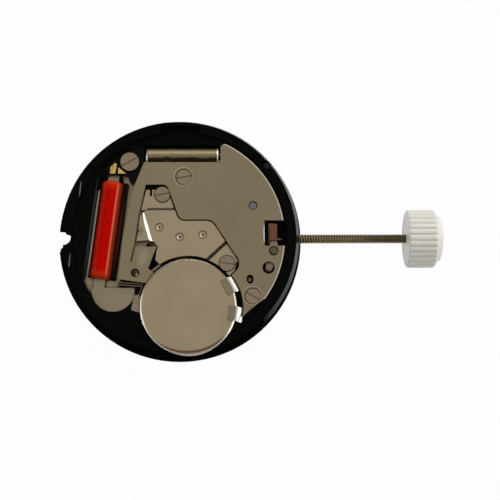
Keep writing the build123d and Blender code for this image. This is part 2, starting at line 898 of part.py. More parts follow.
    # Keyless works: lever pocket, stem bore, clutch bore and slots of the pins
    with BuildSketch(Plane.XY.offset(lever_pocket_low)):
        add(lever_pocket_plan)
    extrude(amount=plate_height, mode=Mode.SUBTRACT)
    with BuildSketch(stem_plane(stem_end_share * plate_radius - seat_clearance)):
        Circle(stem_pivot_radius + running_clearance)
    extrude(amount=plate_radius, mode=Mode.SUBTRACT)
    with BuildSketch(stem_plane(clutch_place - 2 * seat_clearance)):
        Circle(clutch_crown_radius + seat_clearance)
    extrude(amount=clutch_length + 4 * seat_clearance, mode=Mode.SUBTRACT)
    with BuildSketch(stem_plane(clutch_place + clutch_length)):
        Circle(stem_body_radius + running_clearance)
    extrude(amount=plate_radius, mode=Mode.SUBTRACT)
    setting_slot_end = (setting_nose_place[0] + stem_pull, setting_nose_place[1] - lever_clearance)
    with BuildSketch(Plane.XY.offset(stem_height)):
        add(
            arm_sketch(
                (
                    (setting_nose_place, setting_pin_radius + seat_clearance),
                    (setting_slot_end, setting_pin_radius + seat_clearance),
                )
            )
        )
    extrude(amount=plate_height, mode=Mode.SUBTRACT)
    with BuildSketch(Plane.XY.offset(third_wheel_low - lever_clearance)):
        add(
            arm_sketch(
                (
                    (at(reset_tip_share), reset_pin_radius + lever_clearance),
                    (at(reset_stop_share), reset_pin_radius + lever_clearance),
                )
            )
        )
    extrude(amount=plate_height, mode=Mode.SUBTRACT)
    # Posts and holes of the screws and studs
    with BuildSketch(Plane.XY.offset(stator_low)):
        with Locations(at(foot_hole_share)):
            Circle(stator_post_radius)
    extrude(amount=cover_low - stator_low)
    with BuildSketch(Plane.XY.offset(cover_low)):
        with Locations(at(foot_hole_share)):
            Circle(foot_hole_radius - seat_clearance)
    extrude(amount=sheet_thick)
    with BuildSketch(Plane.XY.offset(lug_top - screw_depth)):
        for share in bridge_screw_shares + cover_screw_shares:
            with Locations(at(share)):
                Circle(screw_shank_radius)
    extrude(amount=plate_height, mode=Mode.SUBTRACT)
    with BuildSketch(Plane.XY.offset(terminal_top - 2 * screw_depth)):
        with Locations(board_screw_place):
            Circle(screw_shank_radius)
    extrude(amount=plate_height, mode=Mode.SUBTRACT)
    with BuildSketch(Plane.XY.offset(stem_height)):
        for share in (setting_stud_share, yoke_stud_share, reset_stud_share):
            with Locations(at(share)):
                Circle(stud_radius)
    extrude(amount=plate_height, mode=Mode.SUBTRACT)
    # Dial side: motion recess, guard recess, pivots, studs and dial feet
    with BuildSketch():
        for middle, radius in motion_wells:
            with Locations(middle):
                Circle(radius)
    extrude(amount=motion_depth, mode=Mode.SUBTRACT)
    with BuildSketch():
        add(guard_recess_plan)
    extrude(amount=guard_top, mode=Mode.SUBTRACT)
    with BuildSketch(Plane.XY.offset(motion_depth)):
        for middle in web_pivots:
            with Locations(middle):
                Circle(pivot_radius + pivot_clearance)
        Circle(tube_radius + running_clearance)
    extrude(amount=web_thick, mode=Mode.SUBTRACT)
    with BuildSketch(Plane.XY.offset(guard_top)):
        for middle in (minute_place, setting_place):
            with Locations(middle):
                Circle(motion_stud_radius)
    extrude(amount=motion_depth - guard_top)
    with BuildSketch(Plane.XY.offset(guard_top)):
        for share in guard_screw_shares:
            with Locations(at(share)):
                Circle(guard_screw_shank_radius)
    extrude(amount=guard_screw_depth, mode=Mode.SUBTRACT)
    with BuildSketch():
        with Locations(*[polar(centre_place, foot_place_share * plate_radius, turn) for turn in foot_turns]):
            Circle(foot_bore_radius)
    extrude(amount=foot_bore_depth, mode=Mode.SUBTRACT)
    # Rim: notch, flat, shallow window, slots and peg hole
    with BuildSketch():
        with Locations(at(rim_notch_share)):
            Circle(rim_notch_radius)
        with Locations((-plate_radius, at(rim_notch_share)[1])):
            Rectangle(2 * (plate_radius + at(rim_notch_share)[0]), rim_notch_mouth)
    extrude(amount=plate_height + overrun, mode=Mode.SUBTRACT)
    with BuildSketch(Plane.XY.offset(flange_height)):
        with Locations((at(rim_window_share)[0], rim_flat_share * plate_radius + overrun / 2)):
            Rectangle(rim_flat_width, overrun)
    extrude(amount=plate_height, mode=Mode.SUBTRACT)
    with BuildSketch(Plane.XY.offset(plate_height - rim_window_depth)):
        with Locations(at(rim_window_share)):
            Rectangle(rim_window_width, rim_window_height)
    extrude(amount=plate_height, mode=Mode.SUBTRACT)
    for start_share, end_share in rim_slots_shares:
        with BuildSketch(Plane.XY.offset(cover_low - rim_slot_depth)):
            add(arm_sketch(((at(start_share), rim_slot_width / 2), (at(end_share), rim_slot_width / 2))))
        extrude(amount=plate_height, mode=Mode.SUBTRACT)
    with BuildSketch(Plane.XY.offset(cover_low - peg_depth)):
        with Locations(polar(centre_place, foot_place_share * plate_radius, foot_turns[0])):
            Circle(peg_radius)
    extrude(amount=plate_height, mode=Mode.SUBTRACT)
main_plate.part.label = "main_plate"
export_step(main_plate.part, "parts/main_plate.step")

# Dial side: guard plate, its screws and the motion work
with BuildPart() as guard_plate:
    with BuildSketch(Plane.XY.offset(guard_low)):
        add(guard_plan)
        Circle(guard_hole_radius, mode=Mode.SUBTRACT)
    extrude(amount=guard_thick)
    with BuildSketch(Plane.XY.offset(guard_low)):
        for share in guard_screw_shares:
            with Locations(at(share)):
                Circle(guard_screw_head_radius)
    extrude(amount=guard_screw_head_thick, mode=Mode.SUBTRACT)
    with BuildSketch(Plane.XY.offset(guard_low)):
        for share in guard_screw_shares:
            with Locations(at(share)):
                Circle(guard_screw_shank_radius)
    extrude(amount=guard_thick, mode=Mode.SUBTRACT)
guard_plate.part.label = "guard_plate"
export_step(guard_plate.part, "parts/guard_plate.step")

with BuildPart() as guard_screws:
    with BuildSketch(Plane.XY.offset(guard_low)):
        for share in guard_screw_shares:
            with Locations(at(share)):
                Circle(guard_screw_head_radius)
    extrude(amount=guard_screw_head_thick)
    with BuildSketch(Plane.XY.offset(guard_low + guard_screw_head_thick)):
        for share in guard_screw_shares:
            with Locations(at(share)):
                Circle(guard_screw_shank_radius)
    extrude(amount=guard_screw_depth - guard_screw_head_thick)
    with BuildSketch(Plane.XY.offset(guard_low)):
        for share in guard_screw_shares:
            with Locations(at(share)):
                Rectangle(3 * guard_screw_head_radius, screw_slot_width)
    extrude(amount=screw_slot_depth / 2, mode=Mode.SUBTRACT)
guard_screws.part.label = "guard_screws"
export_step(guard_screws.part, "parts/guard_screws.step")

cannon_phase = 0
minute_phase = meshed(centre_place, cannon_teeth, cannon_phase, minute_place, minute_teeth)
minute_pinion_phase = minute_phase
hour_phase = meshed(minute_place, minute_pinion_teeth, minute_pinion_phase, centre_place, hour_teeth)
setting_phase = meshed(minute_place, minute_teeth, minute_phase, setting_place, setting_teeth)
cannon_gear = gear_sketch(centre_place, cannon_teeth, minute_module, cannon_phase)
minute_gear = gear_sketch(minute_place, minute_teeth, minute_module, minute_phase)
minute_pinion_gear = gear_sketch(minute_place, minute_pinion_teeth, hour_module, minute_pinion_phase)
hour_gear = gear_sketch(centre_place, hour_teeth, hour_module, hour_phase)
setting_gear = gear_sketch(setting_place, setting_teeth, minute_module, setting_phase)

with BuildPart() as cannon_pinion:
    with BuildSketch(Plane.XY.offset(cannon_low)):
        add(cannon_gear)
    extrude(amount=cannon_thick)
    with BuildSketch(Plane.XY.offset(cannon_low)):
        Circle(cannon_pipe_radius)
    extrude(amount=minute_seat_low + hand_seat_length - cannon_low)
    with BuildSketch(Plane.XY.offset(minute_seat_low)):
        Circle(minute_seat_radius)
    extrude(amount=hand_seat_length)
    with BuildSketch(Plane.XY.offset(minute_seat_low)):
        Circle(tube_radius)
    extrude(amount=plate_height, mode=Mode.SUBTRACT)
cannon_pinion.part.label = "cannon_pinion"
export_step(cannon_pinion.part, "parts/cannon_pinion.step")

with BuildPart() as hour_wheel:
    with BuildSketch(Plane.XY.offset(hour_wheel_low)):
        add(hour_gear)
    extrude(amount=wheel_thick)
    with BuildSketch(Plane.XY.offset(hour_seat_low)):
        Circle(hour_seat_radius)
    extrude(amount=hour_wheel_low - hour_seat_low)
    with BuildSketch():
        Circle(hour_pipe_radius)
    extrude(amount=hour_wheel_low)
    with BuildSketch(Plane.XY.offset(hour_seat_low)):
        Circle(hour_bore)
    extrude(amount=plate_height, mode=Mode.SUBTRACT)
hour_wheel.part.label = "hour_wheel"
export_step(hour_wheel.part, "parts/hour_wheel.step")

with BuildPart() as minute_wheel:
    with BuildSketch(Plane.XY.offset(minute_wheel_low)):
        add(minute_gear)
        with Locations(minute_place):
            Circle(motion_stud_radius + pivot_clearance, mode=Mode.SUBTRACT)
        add(crossing_sketch(minute_place, minute_teeth, minute_module), mode=Mode.SUBTRACT)
    extrude(amount=wheel_thick)
minute_wheel.part.label = "minute_wheel"
export_step(minute_wheel.part, "parts/minute_wheel.step")

with BuildPart() as minute_pinion:
    with BuildSketch(Plane.XY.offset(motion_low)):
        add(minute_pinion_gear)
        with Locations(minute_place):
            Circle(motion_stud_radius + pivot_clearance, mode=Mode.SUBTRACT)
    extrude(amount=minute_wheel_low - motion_low)
minute_pinion.part.label = "minute_pinion"
export_step(minute_pinion.part, "parts/minute_pinion.step")

with BuildPart() as setting_wheel:
    with BuildSketch(Plane.XY.offset(minute_wheel_low)):
        add(setting_gear)
    extrude(amount=wheel_thick)
    with BuildSketch(Plane.XY.offset(motion_low)):
        with Locations(setting_place):
            Circle(2 * motion_stud_radius)
    extrude(amount=minute_wheel_low - motion_low)
    with BuildSketch(Plane.XY.offset(motion_low)):
        with Locations(setting_place):
            Circle(motion_stud_radius + pivot_clearance)
    extrude(amount=plate_height, mode=Mode.SUBTRACT)
setting_wheel.part.label = "setting_wheel"
export_step(setting_wheel.part, "parts/setting_wheel.step")

# Train: each wheel is driven by the pinion before it, from the rotor down to the minutes
rotor_phase = 0
fifth_phase = meshed(rotor_place, rotor_teeth, rotor_phase, fifth_place, fifth_teeth)
seconds_phase = meshed(fifth_place, fifth_pinion_teeth, 0, centre_place, seconds_teeth)
third_phase = meshed(centre_place, seconds_pinion_teeth, 0, third_place, third_teeth)
centre_phase = meshed(third_place, third_pinion_teeth, 0, centre_place, centre_teeth)
rotor_gear = gear_sketch(rotor_place, rotor_teeth, fifth_module, rotor_phase)
fifth_gear = gear_sketch(fifth_place, fifth_teeth, fifth_module, fifth_phase)
fifth_pinion_gear = gear_sketch(fifth_place, fifth_pinion_teeth, seconds_module, 0)
seconds_gear = gear_sketch(centre_place, seconds_teeth, seconds_module, seconds_phase)
seconds_pinion_gear = gear_sketch(centre_place, seconds_pinion_teeth, third_module, 0)
third_gear = gear_sketch(third_place, third_teeth, third_module, third_phase)
third_pinion_gear = gear_sketch(third_place, third_pinion_teeth, centre_module, 0)
centre_gear = gear_sketch(centre_place, centre_teeth, centre_module, centre_phase)

pinion_low = web_top + pivot_clearance
arbor_top = bridge_low - seat_clearance
pivot_top = bridge_top - oil_sink_depth
rotor_arbor_top = lug_low - seat_clearance
rotor_pivot_top = lug_top - oil_sink_depth
magnet_low = stator_low - magnet_overhang
rotor_arbor = stacked_cylinders(
    rotor_place,
    (
        (motion_depth, pinion_low, pivot_radius),
        (pinion_low, rotor_arbor_top, arbor_radius),
        (rotor_arbor_top, rotor_pivot_top, pivot_radius),
    ),
)
fifth_arbor = stacked_cylinders(
    fifth_place,
    (
        (motion_depth, pinion_low, pivot_radius),
        (pinion_low, arbor_top, arbor_radius),
        (arbor_top, pivot_top, pivot_radius),
    ),
)
third_arbor = stacked_cylinders(
    third_place,
    (
        (motion_depth, pinion_low, pivot_radius),
        (pinion_low, arbor_top, arbor_radius),
        (arbor_top, pivot_top, pivot_radius),
    ),
)
seconds_arbor = stacked_cylinders(
    centre_place,
    (
        (seconds_seat_low, minute_seat_low, seconds_seat_radius),
        (minute_seat_low, arbor_top, seconds_arbor_radius),
        (arbor_top, pivot_top, pivot_radius),
    ),
)

with BuildPart() as rotor_pinion:
    add(rotor_arbor)
    with BuildSketch(Plane.XY.offset(fifth_wheel_low - pinion_margin)):
        add(rotor_gear)
    extrude(amount=wheel_thick + 2 * pinion_margin)
rotor_pinion.part.label = "rotor_pinion"
export_step(rotor_pinion.part, "parts/rotor_pinion.step")

with BuildPart() as rotor_magnet:
    with BuildSketch(Plane.XY.offset(magnet_low)):
        with Locations(rotor_place):
            Circle(magnet_radius)
            Circle(arbor_radius, mode=Mode.SUBTRACT)
    extrude(amount=stator_thick + 2 * magnet_overhang)
rotor_magnet.part.label = "rotor_magnet"
export_step(rotor_magnet.part, "parts/rotor_magnet.step")

with BuildPart() as fifth_pinion:
    add(fifth_arbor)
    with BuildSketch(Plane.XY.offset(fifth_pinion_low)):
        add(fifth_pinion_gear)
    extrude(amount=wheel_thick + 2 * level_gap)
fifth_pinion.part.label = "fifth_pinion"
export_step(fifth_pinion.part, "parts/fifth_pinion.step")

with BuildPart() as fifth_wheel:
    with BuildSketch(Plane.XY.offset(fifth_wheel_low)):
        add(fifth_gear)
        with Locations(fifth_place):
            Circle(arbor_radius, mode=Mode.SUBTRACT)
        add(crossing_sketch(fifth_place, fifth_teeth, fifth_module), mode=Mode.SUBTRACT)
    extrude(amount=wheel_thick)
fifth_wheel.part.label = "fifth_wheel"
export_step(fifth_wheel.part, "parts/fifth_wheel.step")

with BuildPart() as seconds_pinion:
    add(seconds_arbor)
    with BuildSketch(Plane.XY.offset(third_wheel_low - pinion_margin)):
        add(seconds_pinion_gear)
    extrude(amount=wheel_thick + 2 * pinion_margin)
seconds_pinion.part.label = "seconds_pinion"
export_step(seconds_pinion.part, "parts/seconds_pinion.step")

with BuildPart() as seconds_wheel:
    with BuildSketch(Plane.XY.offset(seconds_wheel_low)):
        add(seconds_gear)
        Circle(seconds_arbor_radius, mode=Mode.SUBTRACT)
        add(crossing_sketch(centre_place, seconds_teeth, seconds_module), mode=Mode.SUBTRACT)
    extrude(amount=wheel_thick)
seconds_wheel.part.label = "seconds_wheel"
export_step(seconds_wheel.part, "parts/seconds_wheel.step")

with BuildPart() as third_pinion:
    add(third_arbor)
    with BuildSketch(Plane.XY.offset(pinion_low)):
        add(third_pinion_gear)
    extrude(amount=centre_wheel_low + wheel_thick + pinion_margin - pinion_low)
third_pinion.part.label = "third_pinion"
export_step(third_pinion.part, "parts/third_pinion.step")

with BuildPart() as third_wheel:
    with BuildSketch(Plane.XY.offset(third_wheel_low)):
        add(third_gear)
        with Locations(third_place):
            Circle(arbor_radius, mode=Mode.SUBTRACT)
        add(crossing_sketch(third_place, third_teeth, third_module), mode=Mode.SUBTRACT)
    extrude(amount=wheel_thick)
third_wheel.part.label = "third_wheel"
export_step(third_wheel.part, "parts/third_wheel.step")

with BuildPart() as centre_wheel:
    with BuildSketch(Plane.XY.offset(centre_wheel_low)):
        add(centre_gear)
        Circle(tube_radius, mode=Mode.SUBTRACT)
        add(crossing_sketch(centre_place, centre_teeth, centre_module), mode=Mode.SUBTRACT)
    extrude(amount=wheel_thick)
centre_wheel.part.label = "centre_wheel"
export_step(centre_wheel.part, "parts/centre_wheel.step")

with BuildPart() as centre_tube:
    with BuildSketch(Plane.XY.offset(tube_low)):
        Circle(tube_radius)
        Circle(tube_bore, mode=Mode.SUBTRACT)
    extrude(amount=centre_wheel_low + wheel_thick + pinion_margin - tube_low)
centre_tube.part.label = "centre_tube"
export_step(centre_tube.part, "parts/centre_tube.step")


def on_lug(edge):
    """Whether the middle of an edge lies over one of the bridge's lower lugs."""
    middle = edge @ 0.5
    spot = Vector(middle.X, middle.Y, 0)
    return any(face.is_inside(spot) for face in lug_plan.faces())


# Train bridge: a raised plate with lower lugs, joined by sloping steps
with BuildPart() as train_bridge:
    with BuildSketch(Plane.XY.offset(bridge_low)):
        add(raised_plan)
    extrude(amount=sheet_thick)
    with BuildSketch(Plane.XY.offset(lug_low)):
        add(lug_plan)
    extrude(amount=sheet_thick)
    with BuildSketch(Plane.XY.offset(lug_low)):
        add(joggle_plan)
    extrude(amount=bridge_top - lug_low)
    top_edges = train_bridge.edges().group_by(Axis.Z)[-1]
    chamfer([edge for edge in top_edges if on_lug(edge)], length=joggle_run)
    with BuildSketch(Plane.XY.offset(lug_low)):
        with Locations(cell_place):
            Circle(cell_radius + bridge_cell_gap)
        with Locations(at(lug_notch_share)):
            Rectangle(lug_notch_width, lug_notch_length)
        for share in bridge_screw_shares:
            with Locations(at(share)):
                Circle(screw_shank_radius)
        with Locations(rotor_place, fifth_place, centre_place, third_place):
            Circle(pivot_radius + pivot_clearance)
    extrude(amount=plate_height, mode=Mode.SUBTRACT)
    with BuildSketch(Plane.XY.offset(pivot_top)):
        with Locations(fifth_place, centre_place, third_place):
            Circle(oil_sink_radius)
    extrude(amount=oil_sink_depth, mode=Mode.SUBTRACT)
    with BuildSketch(Plane.XY.offset(rotor_pivot_top)):
        with Locations(rotor_place):
            Circle(oil_sink_radius / 2)
    extrude(amount=oil_sink_depth, mode=Mode.SUBTRACT)
train_bridge.part.label = "train_bridge"
export_step(train_bridge.part, "parts/train_bridge.step")

bridge_screw_parts = [
    screw(at(share), lug_top, screw_depth, screw_head_radius, turn)
    for share, turn in zip(bridge_screw_shares, bridge_screw_turns)
]
with BuildPart() as bridge_screws:
    for part in bridge_screw_parts:
        add(part)
bridge_screws.part.label = "bridge_screws"
export_step(bridge_screws.part, "parts/bridge_screws.step")

# Motor: stator, core and coil
with BuildPart() as stator:
    with BuildSketch(Plane.XY.offset(stator_low)):
        add(stator_plan)
        with Locations(rotor_place):
            Circle(stator_hole_radius, mode=Mode.SUBTRACT)
        with Locations(board_screw_place):
            Circle(screw_shank_radius, mode=Mode.SUBTRACT)
    extrude(amount=stator_thick)
stator.part.label = "stator"
export_step(stator.part, "parts/stator.step")

with BuildPart() as coil_core:
    with BuildSketch(Plane.XY.offset(core_low)):
        add(core_plan)
        with Locations(board_screw_place):
            Circle(screw_shank_radius, mode=Mode.SUBTRACT)
    extrude(amount=core_thick)
coil_core.part.label = "coil_core"
export_step(coil_core.part, "parts/coil_core.step")

coil_start = beside_coil(0, -half_coil)
coil_section_plane = Plane(
    origin=(*coil_start, coil_axis_height),
    x_dir=(cos(radians(coil_lean)), -sin(radians(coil_lean)), 0),
    z_dir=(sin(radians(coil_lean)), cos(radians(coil_lean)), 0),
)
coil_profile_plane = coil_plane(coil_axis_height)
with BuildPart() as coil_winding:
    with BuildSketch(coil_profile_plane):
        with BuildLine():
            Polyline(
                (0, -half_coil),
                (coil_end_radius, -half_coil),
                (coil_radius, coil_end_taper - half_coil),
                (coil_radius, half_coil - coil_end_taper),
                (coil_end_radius, half_coil),
                (0, half_coil),
                close=True,
            )
        make_face()
    revolve(axis=Axis(coil_profile_plane.origin, coil_profile_plane.y_dir))
    with BuildSketch(coil_section_plane):
        Rectangle(core_width, core_thick)
    extrude(amount=coil_length, mode=Mode.SUBTRACT)
coil_winding.part.label = "coil_winding"
export_step(coil_winding.part, "parts/coil_winding.step")

# Terminal board with its solder pads and screw
with BuildPart() as terminal_board:
    with BuildSketch(Plane.XY.offset(core_top)):
        add(terminal_board_plan)
        with Locations(board_screw_place):
            Circle(screw_shank_radius, mode=Mode.SUBTRACT)
    extrude(amount=terminal_thick)
terminal_board.part.label = "terminal_board"
export_step(terminal_board.part, "parts/terminal_board.step")

solder_plans = [polygon_sketch(outline(shares)) for shares in solder_shares]
with BuildPart() as solder_pads:
    with BuildSketch(Plane.XY.offset(terminal_top)):
        for plan in solder_plans:
            add(plan)
    extrude(amount=solder_thick)
solder_pads.part.label = "solder_pads"
export_step(solder_pads.part, "parts/solder_pads.step")

board_screw_part = screw(
    board_screw_place, terminal_top, 2 * screw_depth, board_screw_head_radius, board_screw_turn
)
with BuildPart() as board_screw:
    add(board_screw_part)
board_screw.part.label = "board_screw"
export_step(board_screw.part, "parts/board_screw.step")

# Circuit: board, chip, test pad and crystal
with BuildPart() as circuit_board:
    with BuildSketch(Plane.XY.offset(board_low)):
        add(circuit_board_plan)
        with Locations(at(cover_screw_shares[0])):
            Circle(screw_shank_radius + seat_clearance, mode=Mode.SUBTRACT)
    extrude(amount=sheet_thick)
circuit_board.part.label = "circuit_board"
export_step(circuit_board.part, "parts/circuit_board.step")

with BuildPart() as chip:
    with BuildSketch(Plane.XY.offset(board_low - chip_thick)):
        with Locations(at(chip_share)):
            Rectangle(chip_size, chip_size)
    extrude(amount=chip_thick)
chip.part.label = "chip"
export_step(chip.part, "parts/chip.step")

with BuildPart() as test_pad:
    with BuildSketch(Plane.XY.offset(board_top)):
        with Locations(at(test_pad_share)):
            Circle(pad_radius)
    extrude(amount=pad_thick)
test_pad.part.label = "test_pad"
export_step(test_pad.part, "parts/test_pad.step")

crystal_plane = Plane(
    origin=(crystal_place[0] - crystal_length / 2, crystal_place[1], crystal_height),
    x_dir=(0, 1, 0),
    z_dir=(1, 0, 0),
)
crystal_end = Plane(
    origin=(crystal_place[0] + crystal_length / 2, crystal_place[1], crystal_height),
    x_dir=(0, 1, 0),
    z_dir=(1, 0, 0),
)
with BuildPart() as crystal_can:
    with BuildSketch(crystal_plane):
        Circle(crystal_radius)
    extrude(amount=crystal_length)
    chamfer(crystal_can.edges().sort_by(Axis.X)[0], crystal_end_chamfer)
crystal_can.part.label = "crystal_can"
export_step(crystal_can.part, "parts/crystal_can.step")

with BuildPart() as crystal_leads:
    with BuildSketch(crystal_end):
        with Locations((-crystal_lead_gap / 2, 0), (crystal_lead_gap / 2, 0)):
            Circle(crystal_lead_radius)
    extrude(amount=crystal_lead_length)
    lead_foot = 1.3 * crystal_lead_radius
    with BuildSketch(Plane.XY.offset(crystal_height - lead_foot)):
        with Locations((crystal_place[0] + crystal_length / 2 + crystal_lead_length, crystal_place[1])):
            with Locations((0, -crystal_lead_gap / 2), (0, crystal_lead_gap / 2)):
                Circle(lead_foot)
    extrude(amount=board_low - crystal_height + lead_foot)
crystal_leads.part.label = "crystal_leads"
export_step(crystal_leads.part, "parts/crystal_leads.step")

# Circuit cover and its screws
tongue_slot_plan = arm_sketch([(at(share), tongue_slot_width / 2) for share in tongue_slot_shares])
with BuildPart() as circuit_cover:
    with BuildSketch(Plane.XY.offset(cover_low)):
        add(cover_plan)
        add(window_plan, mode=Mode.SUBTRACT)
        add(tongue_slot_plan, mode=Mode.SUBTRACT)
        with Locations(cell_place, (cell_place[0] + cell_gap_right - cell_gap_left, cell_place[1])):
            Circle(cell_radius + cell_gap_left, mode=Mode.SUBTRACT)
        with Locations((notch_share * plate_radius + plate_radius / 2, 0)):
            with Locations((0, (notch_high_share + notch_low_share) * plate_radius / 2)):
                Rectangle(
                    plate_radius,
                    (notch_high_share - notch_low_share) * plate_radius,
                    mode=Mode.SUBTRACT,
                )
        with Locations(at(setting_stud_share), at(foot_hole_share)):
            Circle(stud_hole_radius, mode=Mode.SUBTRACT)
        with Locations(at(release_share)):
            Circle(release_hole_radius, mode=Mode.SUBTRACT)
        with Locations(at(test_pad_share)):
            Circle(test_hole_radius, mode=Mode.SUBTRACT)
        with Locations(at(reset_stud_share)):
            SlotOverall(reset_hole_length, reset_hole_width, rotation=90, mode=Mode.SUBTRACT)
        for share in cover_screw_shares:
            with Locations(at(share)):
                Circle(screw_shank_radius, mode=Mode.SUBTRACT)
    extrude(amount=sheet_thick)
    with BuildSketch(Plane.XY.offset(cover_top - screw_head_thick)):
        for share in cover_screw_shares:
            with Locations(at(share)):
                Circle(screw_head_radius + running_clearance)
    extrude(amount=sheet_thick, mode=Mode.SUBTRACT)
circuit_cover.part.label = "circuit_cover"
export_step(circuit_cover.part, "parts/circuit_cover.step")

cover_screw_parts = [
    screw(at(share), cover_top - screw_head_thick, screw_depth, screw_head_radius, turn)
    for share, turn in zip(cover_screw_shares, cover_screw_turns)
]
with BuildPart() as cover_screws:
    for part in cover_screw_parts:
        add(part)
cover_screws.part.label = "cover_screws"
export_step(cover_screws.part, "parts/cover_screws.step")

# Battery clamp: a plate under the cover with two tabs that slope up and step over the cell
clamp_section = (
    (clamp_foot, clamp_low),
    (clamp_foot, cover_low),
    (clamp_bend, cover_low),
    (clamp_knee, cover_low + clamp_knee_rise),
    (clamp_knee, cell_top + contact_thick),
    (clamp_reach, cell_top + contact_thick),
    (clamp_reach, cell_top),
    (clamp_over, cell_top),
    (clamp_over, clamp_low + clamp_knee_rise),
    (clamp_bend - contact_thick, clamp_low),
)
with BuildPart() as battery_clamp:
    with BuildSketch(Plane.XY.offset(clamp_low)):
        add(clamp_plan)
        with Locations(cell_place):
            Circle(clamp_bend, mode=Mode.SUBTRACT)
        with Locations(at(cover_screw_shares[1])):
            Circle(screw_shank_radius, mode=Mode.SUBTRACT)
    extrude(amount=contact_thick)
    for turn, width in zip(clamp_tab_turns, clamp_tab_widths):
        with BuildSketch(radial_plane(turn)):
            with BuildLine():
                Polyline(*clamp_section, close=True)
            make_face()
        extrude(amount=width / 2, both=True)
battery_clamp.part.label = "battery_clamp"
export_step(battery_clamp.part, "parts/battery_clamp.step")

# Contacts below and beside the cell
with BuildPart() as negative_contact:
    with BuildSketch(turned_plane(cell_place, cell_low - contact_thick, contact_turn)):
        with Locations(((contact_reach - contact_tail) / 2, 0)):
            Rectangle(contact_reach + contact_tail, contact_width)
    extrude(amount=contact_thick)
    with BuildSketch(turned_plane(cell_place, cell_low, contact_turn)):
        with Locations((contact_reach - contact_thick / 2, 0)):
            Rectangle(contact_thick, contact_leg_width)
    extrude(amount=cover_low - seat_clearance - cell_low)
negative_contact.part.label = "negative_contact"
export_step(negative_contact.part, "parts/negative_contact.step")

with BuildPart() as side_contact:
    with BuildSketch(turned_plane(side_contact_place, side_contact_low, side_contact_turn)):
        Rectangle(side_contact_length, contact_thick)
    extrude(amount=cover_low - side_contact_low)
    with BuildSketch(Plane.XY.offset(side_fold_low)):
        add(side_fold_plan)
    extrude(amount=cover_low - seat_clearance - side_fold_low)
    with BuildSketch(Plane.XY.offset(side_flange_low)):
        add(side_flange_plan)
    extrude(amount=contact_thick)
side_contact.part.label = "side_contact"
export_step(side_contact.part, "parts/side_contact.step")

# Cell: can with its flat face up, gasket ring and lid below
cell_gasket_radius = cell_lid_radius + cell_gasket_thick
with BuildPart() as cell_can:
    with BuildSketch(Plane.XY.offset(cell_low + cell_crimp)):
        with Locations(cell_place):
            Circle(cell_radius)
    extrude(amount=cell_height - cell_crimp)
    chamfer(cell_can.edges().sort_by(Axis.Z)[-1], cell_edge_chamfer)
    with BuildSketch(Plane.XY.offset(cell_low)):
        with Locations(cell_place):
            Circle(cell_gasket_radius)
    extrude(amount=cell_lid_height, mode=Mode.SUBTRACT)
cell_can.part.label = "cell_can"
export_step(cell_can.part, "parts/cell_can.step")

with BuildPart() as cell_gasket:
    with BuildSketch(Plane.XY.offset(cell_low + cell_crimp / 2)):
        with Locations(cell_place):
            Circle(cell_gasket_radius)
            Circle(cell_lid_radius, mode=Mode.SUBTRACT)
    extrude(amount=cell_lid_height - cell_crimp / 2)
cell_gasket.part.label = "cell_gasket"
export_step(cell_gasket.part, "parts/cell_gasket.step")

with BuildPart() as cell_lid:
    with BuildSketch(Plane.XY.offset(cell_low)):
        with Locations(cell_place):
            Circle(cell_lid_radius)
    extrude(amount=cell_lid_height)
cell_lid.part.label = "cell_lid"
export_step(cell_lid.part, "parts/cell_lid.step")

# Stem, crown and clutch wheel
stem_start = stem_end_share * plate_radius
stem_square_start = stem_square_share * plate_radius
stem_body_start = stem_body_share * plate_radius
stem_body_end = plate_radius + stem_shoulder
crown_bore_end = crown_place + crown_bore_depth
with BuildPart() as stem:
    with BuildSketch(stem_plane(stem_start)):
        Circle(stem_pivot_radius)
    extrude(amount=stem_square_start - stem_start)
    with BuildSketch(stem_plane(stem_square_start)):
        Rectangle(stem_square, stem_square)
    extrude(amount=stem_body_start - stem_square_start)
    with BuildSketch(stem_plane(stem_body_start)):
        Circle(stem_body_radius)
    extrude(amount=stem_body_end - stem_body_start)
    with BuildSketch(stem_plane(stem_body_end)):
        Circle(stem_thread_radius)
    extrude(amount=crown_bore_end - stem_body_end)
    with BuildSketch(stem_plane(setting_nose_place[0] - stem_groove_width / 2)):
        Circle(2 * stem_body_radius)
        Circle(stem_groove_radius, mode=Mode.SUBTRACT)
    extrude(amount=stem_groove_width, mode=Mode.SUBTRACT)
stem.part.label = "stem"
export_step(stem.part, "parts/stem.step")

crown_dome_radius = crown_dome_share * crown_radius
crown_dome_low = crown_place + crown_fluted - crown_dome_root
with BuildPart() as crown:
    with BuildSketch(stem_plane(crown_place)):
        Circle(crown_radius - crown_flute_depth)
    extrude(amount=crown_rim_length)
    with BuildSketch(stem_plane(crown_place + crown_rim_length)):
        add(fluted_sketch(crown_radius, crown_radius - crown_flute_depth, crown_flutes))
    extrude(amount=crown_fluted - 2 * crown_rim_length)
    with BuildSketch(stem_plane(crown_place + crown_fluted - crown_rim_length)):
        Circle(crown_radius - crown_flute_depth)
    extrude(amount=crown_rim_length)
    with BuildSketch(stem_plane(crown_dome_low)):
        Circle(crown_dome_radius)
    extrude(amount=crown_place + crown_length - crown_dome_low)
    chamfer(crown.edges().sort_by(Axis.X)[-1], crown_dome_chamfer)
    with BuildSketch(stem_plane(crown_place)):
        Circle(stem_thread_radius)
    extrude(amount=crown_bore_depth, mode=Mode.SUBTRACT)
crown.part.label = "crown"
export_step(crown.part, "parts/crown.step")

